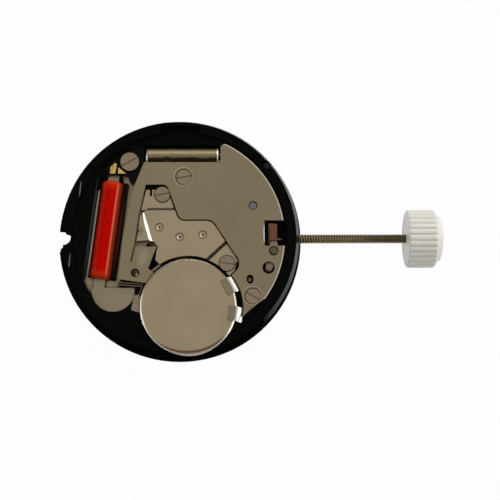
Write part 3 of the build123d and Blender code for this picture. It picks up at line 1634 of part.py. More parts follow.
with BuildPart() as clutch_wheel:
    with BuildSketch(stem_plane(clutch_place + clutch_tooth_depth)):
        Circle(clutch_crown_radius)
    extrude(amount=clutch_crown_thick)
    with BuildSketch(stem_plane(clutch_place)):
        Circle(clutch_crown_radius)
        Circle(clutch_crown_inner, mode=Mode.SUBTRACT)
    extrude(amount=clutch_tooth_depth)
    with BuildSketch(stem_plane(clutch_place)):
        with PolarLocations(clutch_crown_radius, clutch_teeth):
            Rectangle(
                3 * (clutch_crown_radius - clutch_crown_inner),
                clutch_tooth_share * 2 * pi * clutch_crown_radius / clutch_teeth,
            )
    extrude(amount=clutch_tooth_depth, mode=Mode.SUBTRACT)
    with BuildSketch(stem_plane(clutch_place + clutch_tooth_depth + clutch_crown_thick)):
        Circle(clutch_hub_radius)
    extrude(amount=clutch_hub_length)
    with BuildSketch(stem_plane(groove_place)):
        Circle(clutch_groove_radius)
    extrude(amount=clutch_groove_width)
    with BuildSketch(stem_plane(groove_place + clutch_groove_width)):
        Circle(clutch_hub_radius)
    extrude(amount=clutch_flange_thick)
    with BuildSketch(stem_plane(clutch_place)):
        Rectangle(stem_square + 2 * pivot_clearance, stem_square + 2 * pivot_clearance)
    extrude(amount=clutch_length, mode=Mode.SUBTRACT)
clutch_wheel.part.label = "clutch_wheel"
export_step(clutch_wheel.part, "parts/clutch_wheel.step")

# Levers of the keyless works, their spring and studs
setting_nose_arm = arm_sketch(
    ((setting_stud_place, setting_boss_radius), (setting_nose_place, setting_nose_radius))
)
setting_tail_arm = arm_sketch(
    ((setting_stud_place, setting_boss_radius), (release_place, release_pad_radius))
)
with BuildPart() as setting_lever:
    with BuildSketch(Plane.XY.offset(lever_low)):
        add(setting_nose_arm)
        add(setting_tail_arm)
        with Locations(setting_stud_place):
            Circle(stud_radius + pivot_clearance, mode=Mode.SUBTRACT)
    extrude(amount=lever_thick)
    with BuildSketch(Plane.XY.offset(stem_height + stem_groove_radius + running_clearance)):
        with Locations(setting_nose_place):
            Circle(setting_pin_radius)
    extrude(amount=lever_low - stem_height - stem_groove_radius - running_clearance)
    with BuildSketch(Plane.XY.offset(lever_low + lever_thick)):
        with Locations(release_place):
            Circle(stud_radius)
    extrude(amount=cover_low - seat_clearance - lever_low - lever_thick)
setting_lever.part.label = "setting_lever"
export_step(setting_lever.part, "parts/setting_lever.step")

yoke_arm = arm_sketch(((yoke_stud_place, yoke_boss_radius), (yoke_nose_place, yoke_nose_radius)))
with BuildPart() as yoke:
    with BuildSketch(Plane.XY.offset(lever_low)):
        add(yoke_arm)
        with Locations(yoke_stud_place):
            Circle(stud_radius + pivot_clearance, mode=Mode.SUBTRACT)
    extrude(amount=lever_thick)
    with BuildSketch(Plane.XY.offset(stem_height + clutch_groove_radius + running_clearance)):
        with Locations(yoke_nose_place):
            Rectangle(yoke_nib_thick, yoke_nib_width)
    extrude(amount=lever_low - stem_height - clutch_groove_radius - running_clearance)
yoke.part.label = "yoke"
export_step(yoke.part, "parts/yoke.step")

reset_points = [at(share) for share in (*reset_elbow_shares, reset_tip_share)]
reset_arms = [arm_sketch(((reset_stud_place, yoke_boss_radius), (reset_points[0], reset_arm_radius)))]
for start, end in zip(reset_points, reset_points[1:]):
    reset_arms.append(arm_sketch(((start, reset_arm_radius), (end, reset_arm_radius))))
with BuildPart() as reset_lever:
    with BuildSketch(Plane.XY.offset(lever_low)):
        for arm in reset_arms:
            add(arm)
        with Locations(reset_stud_place):
            Circle(stud_radius + pivot_clearance, mode=Mode.SUBTRACT)
    extrude(amount=reset_thick)
    with BuildSketch(Plane.XY.offset(third_wheel_low)):
        with Locations(at(reset_tip_share)):
            Circle(reset_pin_radius)
    extrude(amount=lever_low - third_wheel_low)
reset_lever.part.label = "reset_lever"
export_step(reset_lever.part, "parts/reset_lever.step")

spring_arm = arm_sketch(
    ((at(spring_ends_shares[0]), spring_root_radius), (at(spring_ends_shares[1]), spring_radius))
)
with BuildPart() as setting_lever_spring:
    with BuildSketch(Plane.XY.offset(lever_pocket_low)):
        add(spring_arm)
    extrude(amount=lever_thick)
setting_lever_spring.part.label = "setting_lever_spring"
export_step(setting_lever_spring.part, "parts/setting_lever_spring.step")

with BuildPart() as lever_studs:
    with BuildSketch(Plane.XY.offset(stem_height)):
        for share in (setting_stud_share, yoke_stud_share, reset_stud_share):
            with Locations(at(share)):
                Circle(stud_radius)
    extrude(amount=cover_low - seat_clearance - stem_height)
    with BuildSketch(Plane.XY.offset(lever_low + lever_thick + running_clearance)):
        with Locations(setting_stud_place):
            Circle(stud_head_radius)
    extrude(amount=bridge_top - lever_low - lever_thick - running_clearance)
lever_studs.part.label = "lever_studs"
export_step(lever_studs.part, "parts/lever_studs.step")

# Contact block that the setting lever works under
block_low = lever_low + lever_thick + seat_clearance
block_top = cover_low - seat_clearance
block_foot_share = (0.763, 0.099)
block_share = (0.763, 0.041)
block_width = 0.0583 * plate_radius
block_length = 0.1394 * plate_radius
block_foot_length = 0.0274 * plate_radius
leg_share = (0.726, 0.030)
leg_width = 0.0069 * plate_radius
leg_length = 0.1623 * plate_radius
with BuildPart() as reset_contact:
    with BuildSketch(Plane.XY.offset(block_low)):
        with Locations(at(block_share)):
            Rectangle(block_width, block_length)
        with Locations(at(leg_share)):
            Rectangle(leg_width, leg_length)
        with Locations(((block_share[0] + leg_share[0]) * plate_radius / 2, at(block_foot_share)[1])):
            Rectangle((block_share[0] - leg_share[0]) * plate_radius, block_foot_length)
    extrude(amount=block_top - block_low)
    with BuildSketch(Plane.XY.offset(lever_pocket_low)):
        with Locations(at(block_foot_share)):
            Rectangle(block_width, block_foot_length)
    extrude(amount=block_low - lever_pocket_low)
reset_contact.part.label = "reset_contact"
export_step(reset_contact.part, "parts/reset_contact.step")
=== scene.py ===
# %% [markdown]
# # A quartz watch movement, seen from its battery side
# The solids of the movement come from a CAD model that never moves. This lesson dresses them:
# it gives each piece the finish of the real one, winds the coil, cuts the thread of the stem,
# and sets up a camera, a floor and soft studio light.

# %% Load the solids
import bpy
from math import cos, pi, radians, sin, sqrt
from mathutils import Matrix, Vector


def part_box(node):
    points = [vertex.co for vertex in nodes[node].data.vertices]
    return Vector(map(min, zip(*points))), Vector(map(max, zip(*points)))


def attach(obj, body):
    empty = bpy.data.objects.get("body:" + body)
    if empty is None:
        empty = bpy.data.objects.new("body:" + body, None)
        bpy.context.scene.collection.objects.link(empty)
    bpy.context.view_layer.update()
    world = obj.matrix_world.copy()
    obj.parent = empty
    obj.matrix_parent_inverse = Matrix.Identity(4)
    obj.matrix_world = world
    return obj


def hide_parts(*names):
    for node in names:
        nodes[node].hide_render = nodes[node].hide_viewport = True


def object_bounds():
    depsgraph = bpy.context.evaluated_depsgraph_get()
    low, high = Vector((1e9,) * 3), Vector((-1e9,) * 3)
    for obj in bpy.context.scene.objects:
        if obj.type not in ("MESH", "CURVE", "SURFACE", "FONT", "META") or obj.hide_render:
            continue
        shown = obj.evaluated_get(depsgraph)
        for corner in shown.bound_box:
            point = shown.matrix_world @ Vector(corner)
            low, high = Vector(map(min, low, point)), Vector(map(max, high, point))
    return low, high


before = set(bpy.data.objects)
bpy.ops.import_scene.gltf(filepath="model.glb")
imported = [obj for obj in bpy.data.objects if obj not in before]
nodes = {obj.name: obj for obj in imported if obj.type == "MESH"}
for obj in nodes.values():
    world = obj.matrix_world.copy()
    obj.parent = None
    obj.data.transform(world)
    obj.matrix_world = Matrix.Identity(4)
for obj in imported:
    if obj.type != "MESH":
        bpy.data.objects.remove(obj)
cad_low, cad_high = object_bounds()
MM = 0.001
print("CAD nodes:", len(nodes))

# %% [markdown]
# ## Finishes
# Every finish below is a small tree of nodes that ends in one principled shader. A number that is
# the same all over the surface sits on the shader's own socket, and only what changes from place
# to place comes from other nodes.

# %% Start a finish
def start_finish(name, colour, roughness, metallic):
    """A material with one principled shader whose uniform numbers sit on its own sockets."""
    finish = bpy.data.materials.new(name)
    finish.use_nodes = True
    tree = finish.node_tree
    shader = tree.nodes["Principled BSDF"]
    shader.inputs["Base Color"].default_value = (*colour, 1)
    shader.inputs["Roughness"].default_value = roughness
    shader.inputs["Metallic"].default_value = metallic
    return finish, tree, shader


came_with_solids = len(bpy.data.materials)
print("materials that came with the solids:", came_with_solids)

# %% [markdown]
# Noise textures in object space give each piece its fine grain, so the pattern stays on the piece
# when it turns. An image would need a flat layout of every part, and noise needs none. The scale
# counts features per metre, so the finer the grain, the larger it gets.

# %% A grain of noise
def grain(tree, scale, stretch=(1, 1, 1), detail=3.0):
    """A noise texture in object space, stretched where a brush has run along the metal."""
    place = tree.nodes.new("ShaderNodeTexCoord")
    mapping = tree.nodes.new("ShaderNodeMapping")
    mapping.inputs["Scale"].default_value = stretch
    noise = tree.nodes.new("ShaderNodeTexNoise")
    noise.inputs["Scale"].default_value = scale
    noise.inputs["Detail"].default_value = detail
    tree.links.new(place.outputs["Object"], mapping.inputs["Vector"])
    tree.links.new(mapping.outputs["Vector"], noise.inputs["Vector"])
    return noise.outputs["Fac"]


def grain_scale(size):
    """The scale of a noise whose features have the given size in millimetres."""
    return 1000 / size


print("scale of a grain of 0.05 mm:", round(grain_scale(0.05)))

# %% [markdown]
# A range turns the noise into a number, such as a roughness, and a colour ramp turns it into a
# colour. Most of a noise lies between 0.3 and 0.7, so that is the part that gets spread out.

# %% Ranges and ramps
noise_middle = (0.3, 0.7)


def remap(tree, source, taken, given):
    """Turns one range of a value into another, and holds it at the ends."""
    node = tree.nodes.new("ShaderNodeMapRange")
    node.inputs["From Min"].default_value, node.inputs["From Max"].default_value = taken
    node.inputs["To Min"].default_value, node.inputs["To Max"].default_value = given
    tree.links.new(source, node.inputs["Value"])
    return node.outputs["Result"]


def ramp_between(tree, source, stops):
    """A colour ramp with the given stops, each a position and a colour or a grey."""
    ramp = tree.nodes.new("ShaderNodeValToRGB")
    for place, tone in stops[2:]:
        ramp.color_ramp.elements.new(place)
    for stop, (place, tone) in zip(ramp.color_ramp.elements, stops):
        stop.position = place
        stop.color = (*tone, 1) if isinstance(tone, tuple) else (tone, tone, tone, 1)
    tree.links.new(source, ramp.inputs["Fac"])
    return ramp.outputs["Color"]


def drifting(tree, source, colour, drift):
    """A colour that gets darker and lighter by a share of itself with the noise."""
    dark = tuple(c * (1 - drift) for c in colour)
    light = tuple(min(1.0, c * (1 + drift)) for c in colour)
    return ramp_between(tree, source, tuple(zip(noise_middle, (dark, light))))


print("the noise is spread out between", *noise_middle)

# %% [markdown]
# Two more helpers join such values: one does sums, and one multiplies two colours. The product is
# how a shadow or a film of dirt darkens a colour without hiding its grain.

# %% Sums and products
def maths(tree, operation, first, second=None):
    """An operation on a socket and, where it needs one, a second socket or number."""
    node = tree.nodes.new("ShaderNodeMath")
    node.operation = operation
    tree.links.new(first, node.inputs[0])
    if isinstance(second, bpy.types.NodeSocket):
        tree.links.new(second, node.inputs[1])
    elif second is not None:
        node.inputs[1].default_value = second
    return node.outputs["Value"]


def multiply(tree, colour, by):
    """The product of two colour sockets."""
    blend = tree.nodes.new("ShaderNodeMix")
    blend.data_type = "RGBA"
    blend.blend_type = "MULTIPLY"
    blend.inputs[0].default_value = 1.0
    tree.links.new(colour, blend.inputs[6])
    tree.links.new(by, blend.inputs[7])
    return blend.outputs[2]


print("values are joined by", maths.__name__, "and", multiply.__name__)

# %% [markdown]
# Worn and burnished places follow the shape. One helper tells how far the surface faces a
# direction, and the other lays a colour over what a finish already has, wherever a mask is white.
# Painting the same by hand would have to be done again after each change of the shape.

# %% Directions and layers
def towards(tree, direction):
    """How far the surface faces a direction: 1 straight on, 0 across and -1 away."""
    surface = tree.nodes.new("ShaderNodeNewGeometry")
    turned = tree.nodes.new("ShaderNodeVectorMath")
    turned.operation = "DOT_PRODUCT"
    turned.inputs[1].default_value = direction
    tree.links.new(surface.outputs["Normal"], turned.inputs[0])
    return turned.outputs["Value"]


def lay_over(finish, mask, tone):
    """Lays a colour, or the colour of a socket, over the finish's own where the mask is white."""
    tree = finish.node_tree
    target = tree.nodes["Principled BSDF"].inputs["Base Color"]
    blend = tree.nodes.new("ShaderNodeMix")
    blend.data_type = "RGBA"
    tree.links.new(mask, blend.inputs[0])
    tree.links.new(target.links[0].from_socket, blend.inputs[6])
    if isinstance(tone, tuple):
        blend.inputs[7].default_value = (*tone, 1)
    else:
        tree.links.new(tone, blend.inputs[7])
    tree.links.new(blend.outputs[2], target)


UP = (0, 0, 1)
print("straight up is", UP)

# %% [markdown]
# Bump raises the surface by a texture without moving any point, which is right for a grain finer
# than a hair. The shade of narrow gaps is painted into the colour: an ambient occlusion node looks
# at how closed in each place is, and the colour is multiplied down there as painted shade.

# %% Relief and painted shade in corners
corner_samples = 12


def bump(tree, shader, source, height, strength):
    """Raises the surface by a texture; height is in metres."""
    node = tree.nodes.new("ShaderNodeBump")
    node.inputs["Distance"].default_value = height
    node.inputs["Strength"].default_value = strength
    tree.links.new(source, node.inputs["Height"])
    tree.links.new(node.outputs["Normal"], shader.inputs["Normal"])


def paint_crevice_shade(tree, colour, distance, depth):
    """Paints shade into a colour where the surface is closed in; distance is in millimetres."""
    reach = tree.nodes.new("ShaderNodeAmbientOcclusion")
    reach.samples = corner_samples
    reach.inputs["Distance"].default_value = distance * MM
    painted_shade_tone = (depth, depth * 0.85, depth * 0.7)
    closed = ramp_between(tree, reach.outputs["AO"], ((0.30, painted_shade_tone), (0.85, 1.0)))
    return multiply(tree, colour, closed)


print("rays for each dark corner:", corner_samples)

# %% [markdown]
# Stamped and brushed metal: the colour drifts a little over the sheet, painted shade darkens it in
# the corners, the roughness follows a fine grain, and a shallow bump breaks up the reflection. One
# function serves all the metals, with the grain drawn out along one axis where the sheet was
# brushed.

# %% How a metal is made
EVEN, ALONG_X, ALONG_Y, AROUND_X = (1, 1, 1), (6, 1, 1), (1, 6, 1), (1, 8, 8)
cloud_scale = 350.0
# share of its colour that painted shade leaves in the most closed-in corners
painted_corner_shade = 0.10


def metal(name, colour, roughness, grain_size=0.05, stretch=EVEN, drift=0.06,
          relief=0.6e-6, shade=0.22):
    """A metal; grain_size and shade, the reach of the painted shade in its corners, are in
    millimetres.
    """
    finish, tree, shader = start_finish(name, colour, roughness, 1.0)
    fine = grain(tree, grain_scale(grain_size), stretch)
    wide = grain(tree, cloud_scale, EVEN, 2.0)
    colouring = paint_crevice_shade(tree, drifting(tree, wide, colour, drift), shade, painted_corner_shade)
    tree.links.new(colouring, shader.inputs["Base Color"])
    polish = remap(tree, fine, noise_middle, (roughness * 0.8, roughness * 1.25))
    tree.links.new(polish, shader.inputs["Roughness"])
    bump(tree, shader, fine, relief, 0.6)
    return finish


print("a dark corner keeps", painted_corner_shade, "of its colour")

# %% [markdown]
# The sheets are nickelled steel, warm grey under studio light. The springs are darker, the stem
# was turned and blackened, the wheels are brass, and the pads of the coil are gilt. A finish's
# colour is what the metal mirrors, so it was chosen from how the flat faces look under the lamps.

# %% Metals
steel, spring, iron = (0.458, 0.371, 0.234), (0.30, 0.245, 0.165), (0.36, 0.293, 0.19)
cover_finish = metal("cover_sheet", (0.312, 0.250, 0.160), 0.36, drift=0.04)
bridge_finish = metal("bridge_sheet", steel, 0.33, drift=0.04)
guard_finish = metal("guard_sheet", steel, 0.33, drift=0.04)
cell_finish = metal("cell_can_nickel", (0.447, 0.365, 0.232), 0.30, 0.07, drift=0.05, shade=0.10)
screw_finish = metal("screw_polished", (0.34, 0.263, 0.18), 0.26, 0.05, ALONG_Y, 0.05, shade=0.5)
clamp_finish = metal("clamp_spring", spring, 0.26, 0.05, ALONG_X)
contact_finish = metal("contact_spring", spring, 0.26, 0.05, ALONG_X)
side_colour = (0.17, 0.125, 0.09)
side_finish = metal("side_contact_dull", side_colour, 0.34, 0.05, ALONG_X, 0.08, shade=0.4)
can_finish = metal("crystal_can_drawn", (0.34, 0.275, 0.178), 0.44, 0.05, AROUND_X)
core_finish = metal("core_iron", iron, 0.36, 0.08)
iron_finish = metal("motor_iron_annealed", iron, 0.36, 0.08, shade=0.3)
stem_finish = metal("stem_turned", (0.155, 0.122, 0.074), 0.28, 0.04, AROUND_X, 0.10)
brass_finish = metal("wheel_brass", (0.60, 0.42, 0.16), 0.26, shade=0.7)
gold_finish = metal("gold_pad", (0.85, 0.56, 0.16), 0.34, 0.12, drift=0.18, relief=3e-6)
pad_finish = metal("test_pad_tin", (0.22, 0.228, 0.240), 0.34, drift=0.08)
bronze_finish = metal("bronze_block", (0.20, 0.085, 0.055), 0.40, 0.06, (8, 1, 1), 0.18)
magnet_finish = metal("magnet_sintered", (0.20, 0.20, 0.21), 0.45, 0.04, drift=0.15)
print("metals:", len(bpy.data.materials) - came_with_solids)

# %% [markdown]
# Bends in sheet metal stay rounded. Leaning the shading normal a little towards straight up makes
# a flat slope mirror the room as a rounded bend does, while the level faces, whose normal already
# points up, stay as they are. The slopes also get painted light in their colour: a bright painted
# highlight where they face the given way, and another tone on the others, which on the bridge is
# painted shade.

# %% Round the bends and paint their light and shade
slope_band = ((0.45, 0.0), (0.55, 1.0), (0.88, 1.0), (0.96, 0.0))


def round_and_light_bends(finish, lean, bright, away_tone, facing):
    """Leans the normal towards +Z and paints light and shade on the slopes by the way that they
    face.
    """
    tree = finish.node_tree
    surface = tree.nodes.new("ShaderNodeNewGeometry")
    leaning = tree.nodes.new("ShaderNodeVectorMath")
    leaning.operation = "ADD"
    leaning.inputs[1].default_value = (0, 0, lean)
    unit = tree.nodes.new("ShaderNodeVectorMath")
    unit.operation = "NORMALIZE"
    tree.links.new(surface.outputs["Normal"], leaning.inputs[0])
    tree.links.new(leaning.outputs["Vector"], unit.inputs[0])
    relief = next(node for node in tree.nodes if node.bl_idname == "ShaderNodeBump")
    tree.links.new(unit.outputs["Vector"], relief.inputs["Normal"])
    slope = ramp_between(tree, towards(tree, UP), slope_band)
    painted_bend_light = ramp_between(tree, towards(tree, facing), ((0.35, away_tone), (0.45, bright)))
    lay_over(finish, slope, painted_bend_light)


# a white painted highlight for bends
painted_bend_highlight = (0.90, 0.88, 0.82)
# painted highlight on slopes facing the given way, and painted shade on the bridge's other slopes
round_and_light_bends(bridge_finish, 0.35, (0.78, 0.76, 0.72), (0.07, 0.05, 0.035), (-1, 0, 0))
round_and_light_bends(cover_finish, 0.25, (0.95, 0.90, 0.80), (0.60, 0.50, 0.36), (1, 0, 0))
round_and_light_bends(clamp_finish, 0.35, painted_bend_highlight, painted_bend_highlight, (1, 0, 0))
print("nodes in the bridge's finish:", len(bridge_finish.node_tree.nodes))

# %% [markdown]
# Moulded plastic: the main plate is a glossy black resin. The mould leaves a very fine texture and
# slight flow clouds, which show as a changing roughness rather than as a change of colour.

# %% Plastics and laminate
def moulded(name, colour, roughness, grain_size=0.04, relief=0.8e-6, drift=0.15, gloss=0.5):
    """A moulded plastic with a fine mould texture; gloss is how strongly it mirrors head-on."""
    finish, tree, shader = start_finish(name, colour, roughness, 0.0)
    shader.inputs["Specular IOR Level"].default_value = gloss
    fine = grain(tree, grain_scale(grain_size), EVEN, 4.0)
    wide = grain(tree, 500.0, EVEN, 2.0)
    tree.links.new(drifting(tree, wide, colour, drift), shader.inputs["Base Color"])
    flow = remap(tree, wide, noise_middle, (roughness * 0.85, roughness * 1.2))
    tree.links.new(flow, shader.inputs["Roughness"])
    bump(tree, shader, fine, relief, 0.5)
    return finish


plate_finish = moulded("plate_resin_black", (0.0022, 0.0024, 0.0018), 0.30, gloss=0.02)
laminate_finish = moulded("board_laminate", (0.003, 0.0045, 0.0028), 0.28, 0.12, gloss=0.05)
chip_finish = moulded("chip_resin", (0.02, 0.02, 0.022), 0.55)
gasket_finish = moulded("gasket_nylon", (0.05, 0.05, 0.05), 0.5)
crown_finish = moulded("crown_resin_white", (0.83, 0.81, 0.75), 0.32, 0.06, 1e-6, 0.02, 0.3)
crown_shader = crown_finish.node_tree.nodes["Principled BSDF"]
crown_shader.inputs["Subsurface Weight"].default_value = 0.12
crown_shader.inputs["Subsurface Scale"].default_value = 0.6 * MM
print("metals and plastics:", len(bpy.data.materials) - came_with_solids)

# %% [markdown]
# The plate is so dark that almost all that is seen of it is sheen. The real one shines on its
# right wall and hardly anywhere else. The specular level paints that sheen in by direction: one
# range raises it on the wall that faces right, and another lifts it slightly where the surface is
# seen head-on, so that the flat faces don't fall to pure black.

# %% Give the plate its sheen
shining_side = (0.94, 0.34, 0)
plate_tree = plate_finish.node_tree
# painted sheen on the wall that faces right, and none on the lower wall
painted_wall_sheen = remap(plate_tree, towards(plate_tree, shining_side), (0.40, 0.92), (0.0, 0.06))
plate_weight = plate_tree.nodes.new("ShaderNodeLayerWeight")
face_sheen = remap(plate_tree, plate_weight.outputs["Facing"], (0.02, 0.60), (0.03, 0.0))
plate_sheen = maths(plate_tree, "ADD", face_sheen, painted_wall_sheen)
plate_shader = plate_tree.nodes["Principled BSDF"]
plate_tree.links.new(plate_sheen, plate_shader.inputs["Specular IOR Level"])
print("nodes in the plate's finish:", len(plate_tree.nodes))

# %% [markdown]
# Each solid takes the finish of its real piece. A solid's object has one material slot for each
# finish in the record, and putting a new material there changes the look and not the shape.

# %% Give the solids their finishes
dressed = (
    (plate_finish, "main_plate"),
    (guard_finish, "guard_plate"),
    (screw_finish, "guard_screws bridge_screws board_screw cover_screws"),
    (bridge_finish, "train_bridge"),
    (cover_finish, "circuit_cover"),
    (clamp_finish, "battery_clamp"),
    (side_finish, "side_contact"),
    (contact_finish, "negative_contact setting_lever_spring setting_lever yoke reset_lever"),
    (iron_finish, "stator"),
    (core_finish, "coil_core"),
    (laminate_finish, "terminal_board circuit_board"),
    (chip_finish, "chip"),
    (gold_finish, "solder_pads crystal_leads"),
    (pad_finish, "test_pad"),
    (can_finish, "crystal_can"),
    (cell_finish, "cell_can cell_lid"),
    (gasket_finish, "cell_gasket"),
    (bronze_finish, "reset_contact"),
    (magnet_finish, "rotor_magnet"),
    (stem_finish, "lever_studs rotor_pinion fifth_pinion seconds_pinion third_pinion"),
    (stem_finish, "centre_tube clutch_wheel"),
    (brass_finish, "fifth_wheel seconds_wheel third_wheel centre_wheel cannon_pinion"),
    (brass_finish, "minute_wheel minute_pinion hour_wheel setting_wheel"),
)
for finish, names in dressed:
    for name in names.split():
        for slot in nodes[name].material_slots:
            slot.material = finish
print("finished solids:", sum(len(names.split()) for finish, names in dressed))

# %% [markdown]
# The crystal's can is a drawn tube. Its light and shade are painted across it: a painted highlight
# along its upper flank, and along the flank that lies against the cover two dark bands of painted
# shade with a brown band between them. A colour ramp over the width of the tube, bent a little by
# noise, draws that irregular line.

# %% Paint light and shade across the crystal's can
can_tree = can_finish.node_tree
can_low, can_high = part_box("crystal_can")
can_place = can_tree.nodes.new("ShaderNodeTexCoord")
can_axes = can_tree.nodes.new("ShaderNodeSeparateXYZ")
can_tree.links.new(can_place.outputs["Object"], can_axes.inputs["Vector"])
flank = remap(can_tree, can_axes.outputs["Y"], (can_low.y, can_high.y), (0, 1))
flank_line_noise = grain(can_tree, 2200.0, (1, 0.3, 0.3), 2.0)
flank_line_bend = remap(can_tree, flank_line_noise, noise_middle, (-0.035, 0.035))
# painted shade, a brown band, painted shade again, then a painted highlight on the upper flank
painted_flank_stops = (
    (0.06, (0.10, 0.08, 0.06)),
    (0.12, (0.60, 0.44, 0.30)),
    (0.24, (0.55, 0.40, 0.27)),
    (0.29, (0.10, 0.075, 0.05)),
    (0.41, (0.12, 0.09, 0.06)),
    (0.47, (0.67, 0.65, 0.60)),
    (0.85, (0.60, 0.58, 0.53)),
)
painted_flank_light = ramp_between(can_tree, maths(can_tree, "ADD", flank, flank_line_bend), painted_flank_stops)
can_colour = can_tree.nodes["Principled BSDF"].inputs["Base Color"]
can_tree.links.new(multiply(can_tree, can_colour.links[0].from_socket, painted_flank_light), can_colour)
print("crystal's can is", round((can_high.y - can_low.y) / MM, 2), "mm across")

# %% [markdown]
# ## Marks
# Handling, riveting and soldering leave small marks that would be wasteful as shapes. Each one
# here is an ellipsoid in object space, or only its outer shell, laid over the finish. Where its
# height is far larger than the part, it marks a sheet whatever height the sheet lies at.

# %% A helper that makes a mark
mark_edge = 0.8
tall = 50


def mark(finish, place, size, tone, inner=0.0, turn=0.0, blur=0.08):
    """Tints an ellipsoid, or its shell from the share inner outwards; place and size in mm."""
    tree = finish.node_tree
    spot = tree.nodes.new("ShaderNodeMapping")
    spot.vector_type = "TEXTURE"
    spot.inputs["Location"].default_value = [v * MM for v in place]
    spot.inputs["Rotation"].default_value = (0, 0, turn)
    spot.inputs["Scale"].default_value = [v * MM / mark_edge for v in size]
    away = tree.nodes.new("ShaderNodeVectorMath")
    away.operation = "LENGTH"
    tree.links.new(tree.nodes["Texture Coordinate"].outputs["Object"], spot.inputs["Vector"])
    tree.links.new(spot.outputs["Vector"], away.inputs[0])
    stops = ((mark_edge - blur, 1.0), (mark_edge, 0.0))
    if inner:
        stops = ((mark_edge * inner - blur, 0.0), (mark_edge * inner, 1.0)) + stops
    lay_over(finish, ramp_between(tree, away.outputs["Value"], stops), tone)


print("a tall mark reaches", tall, "mm up and down")

# %% [markdown]
# The bridge has four oil sinks, small dishes over the pivots of the wheels. A dish shows as a
# brown ring of painted shade for its wall and a painted glint off its middle. Round each screw a
# thin ring of painted shadow marks where the countersink begins.

# %% Marks on the bridge
oil_sinks = ((-1.45, 0.70), (0.0, 0.0), (1.63, 0.15), (-2.95, 0.45))
sink_wall_shade, sink_glint = (0.19, 0.14, 0.095), (0.90, 0.86, 0.77)
bridge_screws = ((-1.242, 3.098), (3.351, -1.89))
# a ring of painted shade and a painted glint in each oil sink
for x, y in oil_sinks:
    mark(bridge_finish, (x, y, 0), (0.33, 0.33, tall), sink_wall_shade, inner=0.80)
    mark(bridge_finish, (x - 0.12, y - 0.04, 0), (0.10, 0.15, tall), sink_glint, blur=0.3)
# a thin ring of painted shadow round each screw
for x, y in bridge_screws:
    mark(bridge_finish, (x, y, 0), (0.62, 0.62, tall), (0.07, 0.05, 0.035), inner=0.90, blur=0.03)
print("oil sinks:", len(oil_sinks))

# %% [markdown]
# The cover is pierced for the studs of the setting mechanism. The gap round each stud gets a black
# ring of painted shadow, and so do the gap round the bridge's lower lug and the square hole. Each
# screw gets a ring of painted shadow and a thin painted glint beside it. The rim of the cover was
# cut by the press, and a thin painted highlight runs along it and another along the edge of the
# window. A soft painted sheen lies on the tongue.

# %% Marks on the cover
# black of painted shadow for the gaps round the studs, the lug and the square hole
gap_shadow_black = (0.008, 0.007, 0.006)
cover_screws = ((0.297, 4.314), (5.171, -4.253))
upper_stud, lower_stud, square_hole = (6.67, -1.02, 0), (6.29, -2.23, 0), (4.97, -3.03, 0)
for finish in (cover_finish, stem_finish):
    mark(finish, upper_stud, (0.36, 0.36, tall), gap_shadow_black, inner=0.76, blur=0.05)
mark(cover_finish, lower_stud, (0.45, 0.45, tall), gap_shadow_black, inner=0.70, blur=0.05)
# a ring of painted shadow and a thin painted glint round each screw
screw_ring_shadow, screw_glint = (0.10, 0.08, 0.055), (0.62, 0.55, 0.42)
for x, y in cover_screws:
    mark(cover_finish, (x, y, 0), (0.625, 0.625, tall), screw_ring_shadow, inner=0.90, blur=0.03)
    beside = (x - 0.05, y + 0.05, 0)
    mark(cover_finish, beside, (0.68, 0.68, tall), screw_glint, inner=0.955, blur=0.01)
# a thin painted highlight along the cut rim of the cover
rim_inside, rim_outside, rim_glint = 7.42, 7.50, (0.78, 0.72, 0.60)
rim = (rim_outside, rim_outside, tall)
mark(cover_finish, (0, 0, 0), rim, rim_glint, inner=rim_inside / rim_outside, blur=0.002)
# a painted highlight along the edge of the window
mark(cover_finish, (6.00, 0.22, 0), (0.05, 0.66, tall), (0.90, 0.87, 0.78))
# a soft painted sheen on the cover's tongue
tongue_sheen = (0.40, 0.33, 0.225)
tongue, tongue_turn = (-2.58, -1.49, 0), radians(-14)
mark(cover_finish, tongue, (0.50, 0.90, tall), tongue_sheen, turn=tongue_turn, blur=0.6)
mark(cover_finish, (*bridge_screws[1], 0), (0.88, 0.88, tall), gap_shadow_black, inner=0.84, blur=0.03)
for finish in (cover_finish, stem_finish, contact_finish, clamp_finish):
    mark(finish, square_hole, (0.27, 0.33, tall), gap_shadow_black, inner=0.50)
print("nodes in the cover's finish:", len(cover_finish.node_tree.nodes))

# %% [markdown]
# The cell has a rolled rim with a brown crescent inside it, widest at the lower side because the
# crescent's circle is off the cell's own middle, and a thin painted highlight round the rim. Both
# lie near the top of the can, so these ellipsoids are flat and leave its side wall alone. The tabs
# that clamp it get a painted highlight at their bends, and a small dark spot lies on one of them.

# %% Marks on the cell and the clamp
cell_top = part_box("cell_can")[1].z / MM
cell_middle, crescent_middle = (0.597, -5.021, cell_top), (0.52, -4.30, cell_top)
crescent_brown, rim_highlight = (0.20, 0.085, 0.05), (0.66, 0.64, 0.56)
mark(cell_finish, crescent_middle, (4.04, 4.04, 0.6), crescent_brown, inner=0.955, blur=0.02)
# a thin painted highlight round the rim of the cell
mark(cell_finish, cell_middle, (3.60, 3.60, 0.5), rim_highlight, inner=0.925, blur=0.008)
mark(clamp_finish, (3.83, -3.47, 2.66), (0.09, 0.10, 0.3), (0.05, 0.06, 0.05), blur=0.2)
# a painted highlight on the clamp's bends round the cell
mark(clamp_finish, cell_middle, (3.90, 3.90, 2.0), painted_bend_highlight, inner=0.875, blur=0.01)
print("top of the cell:", round(cell_top, 2), "mm")

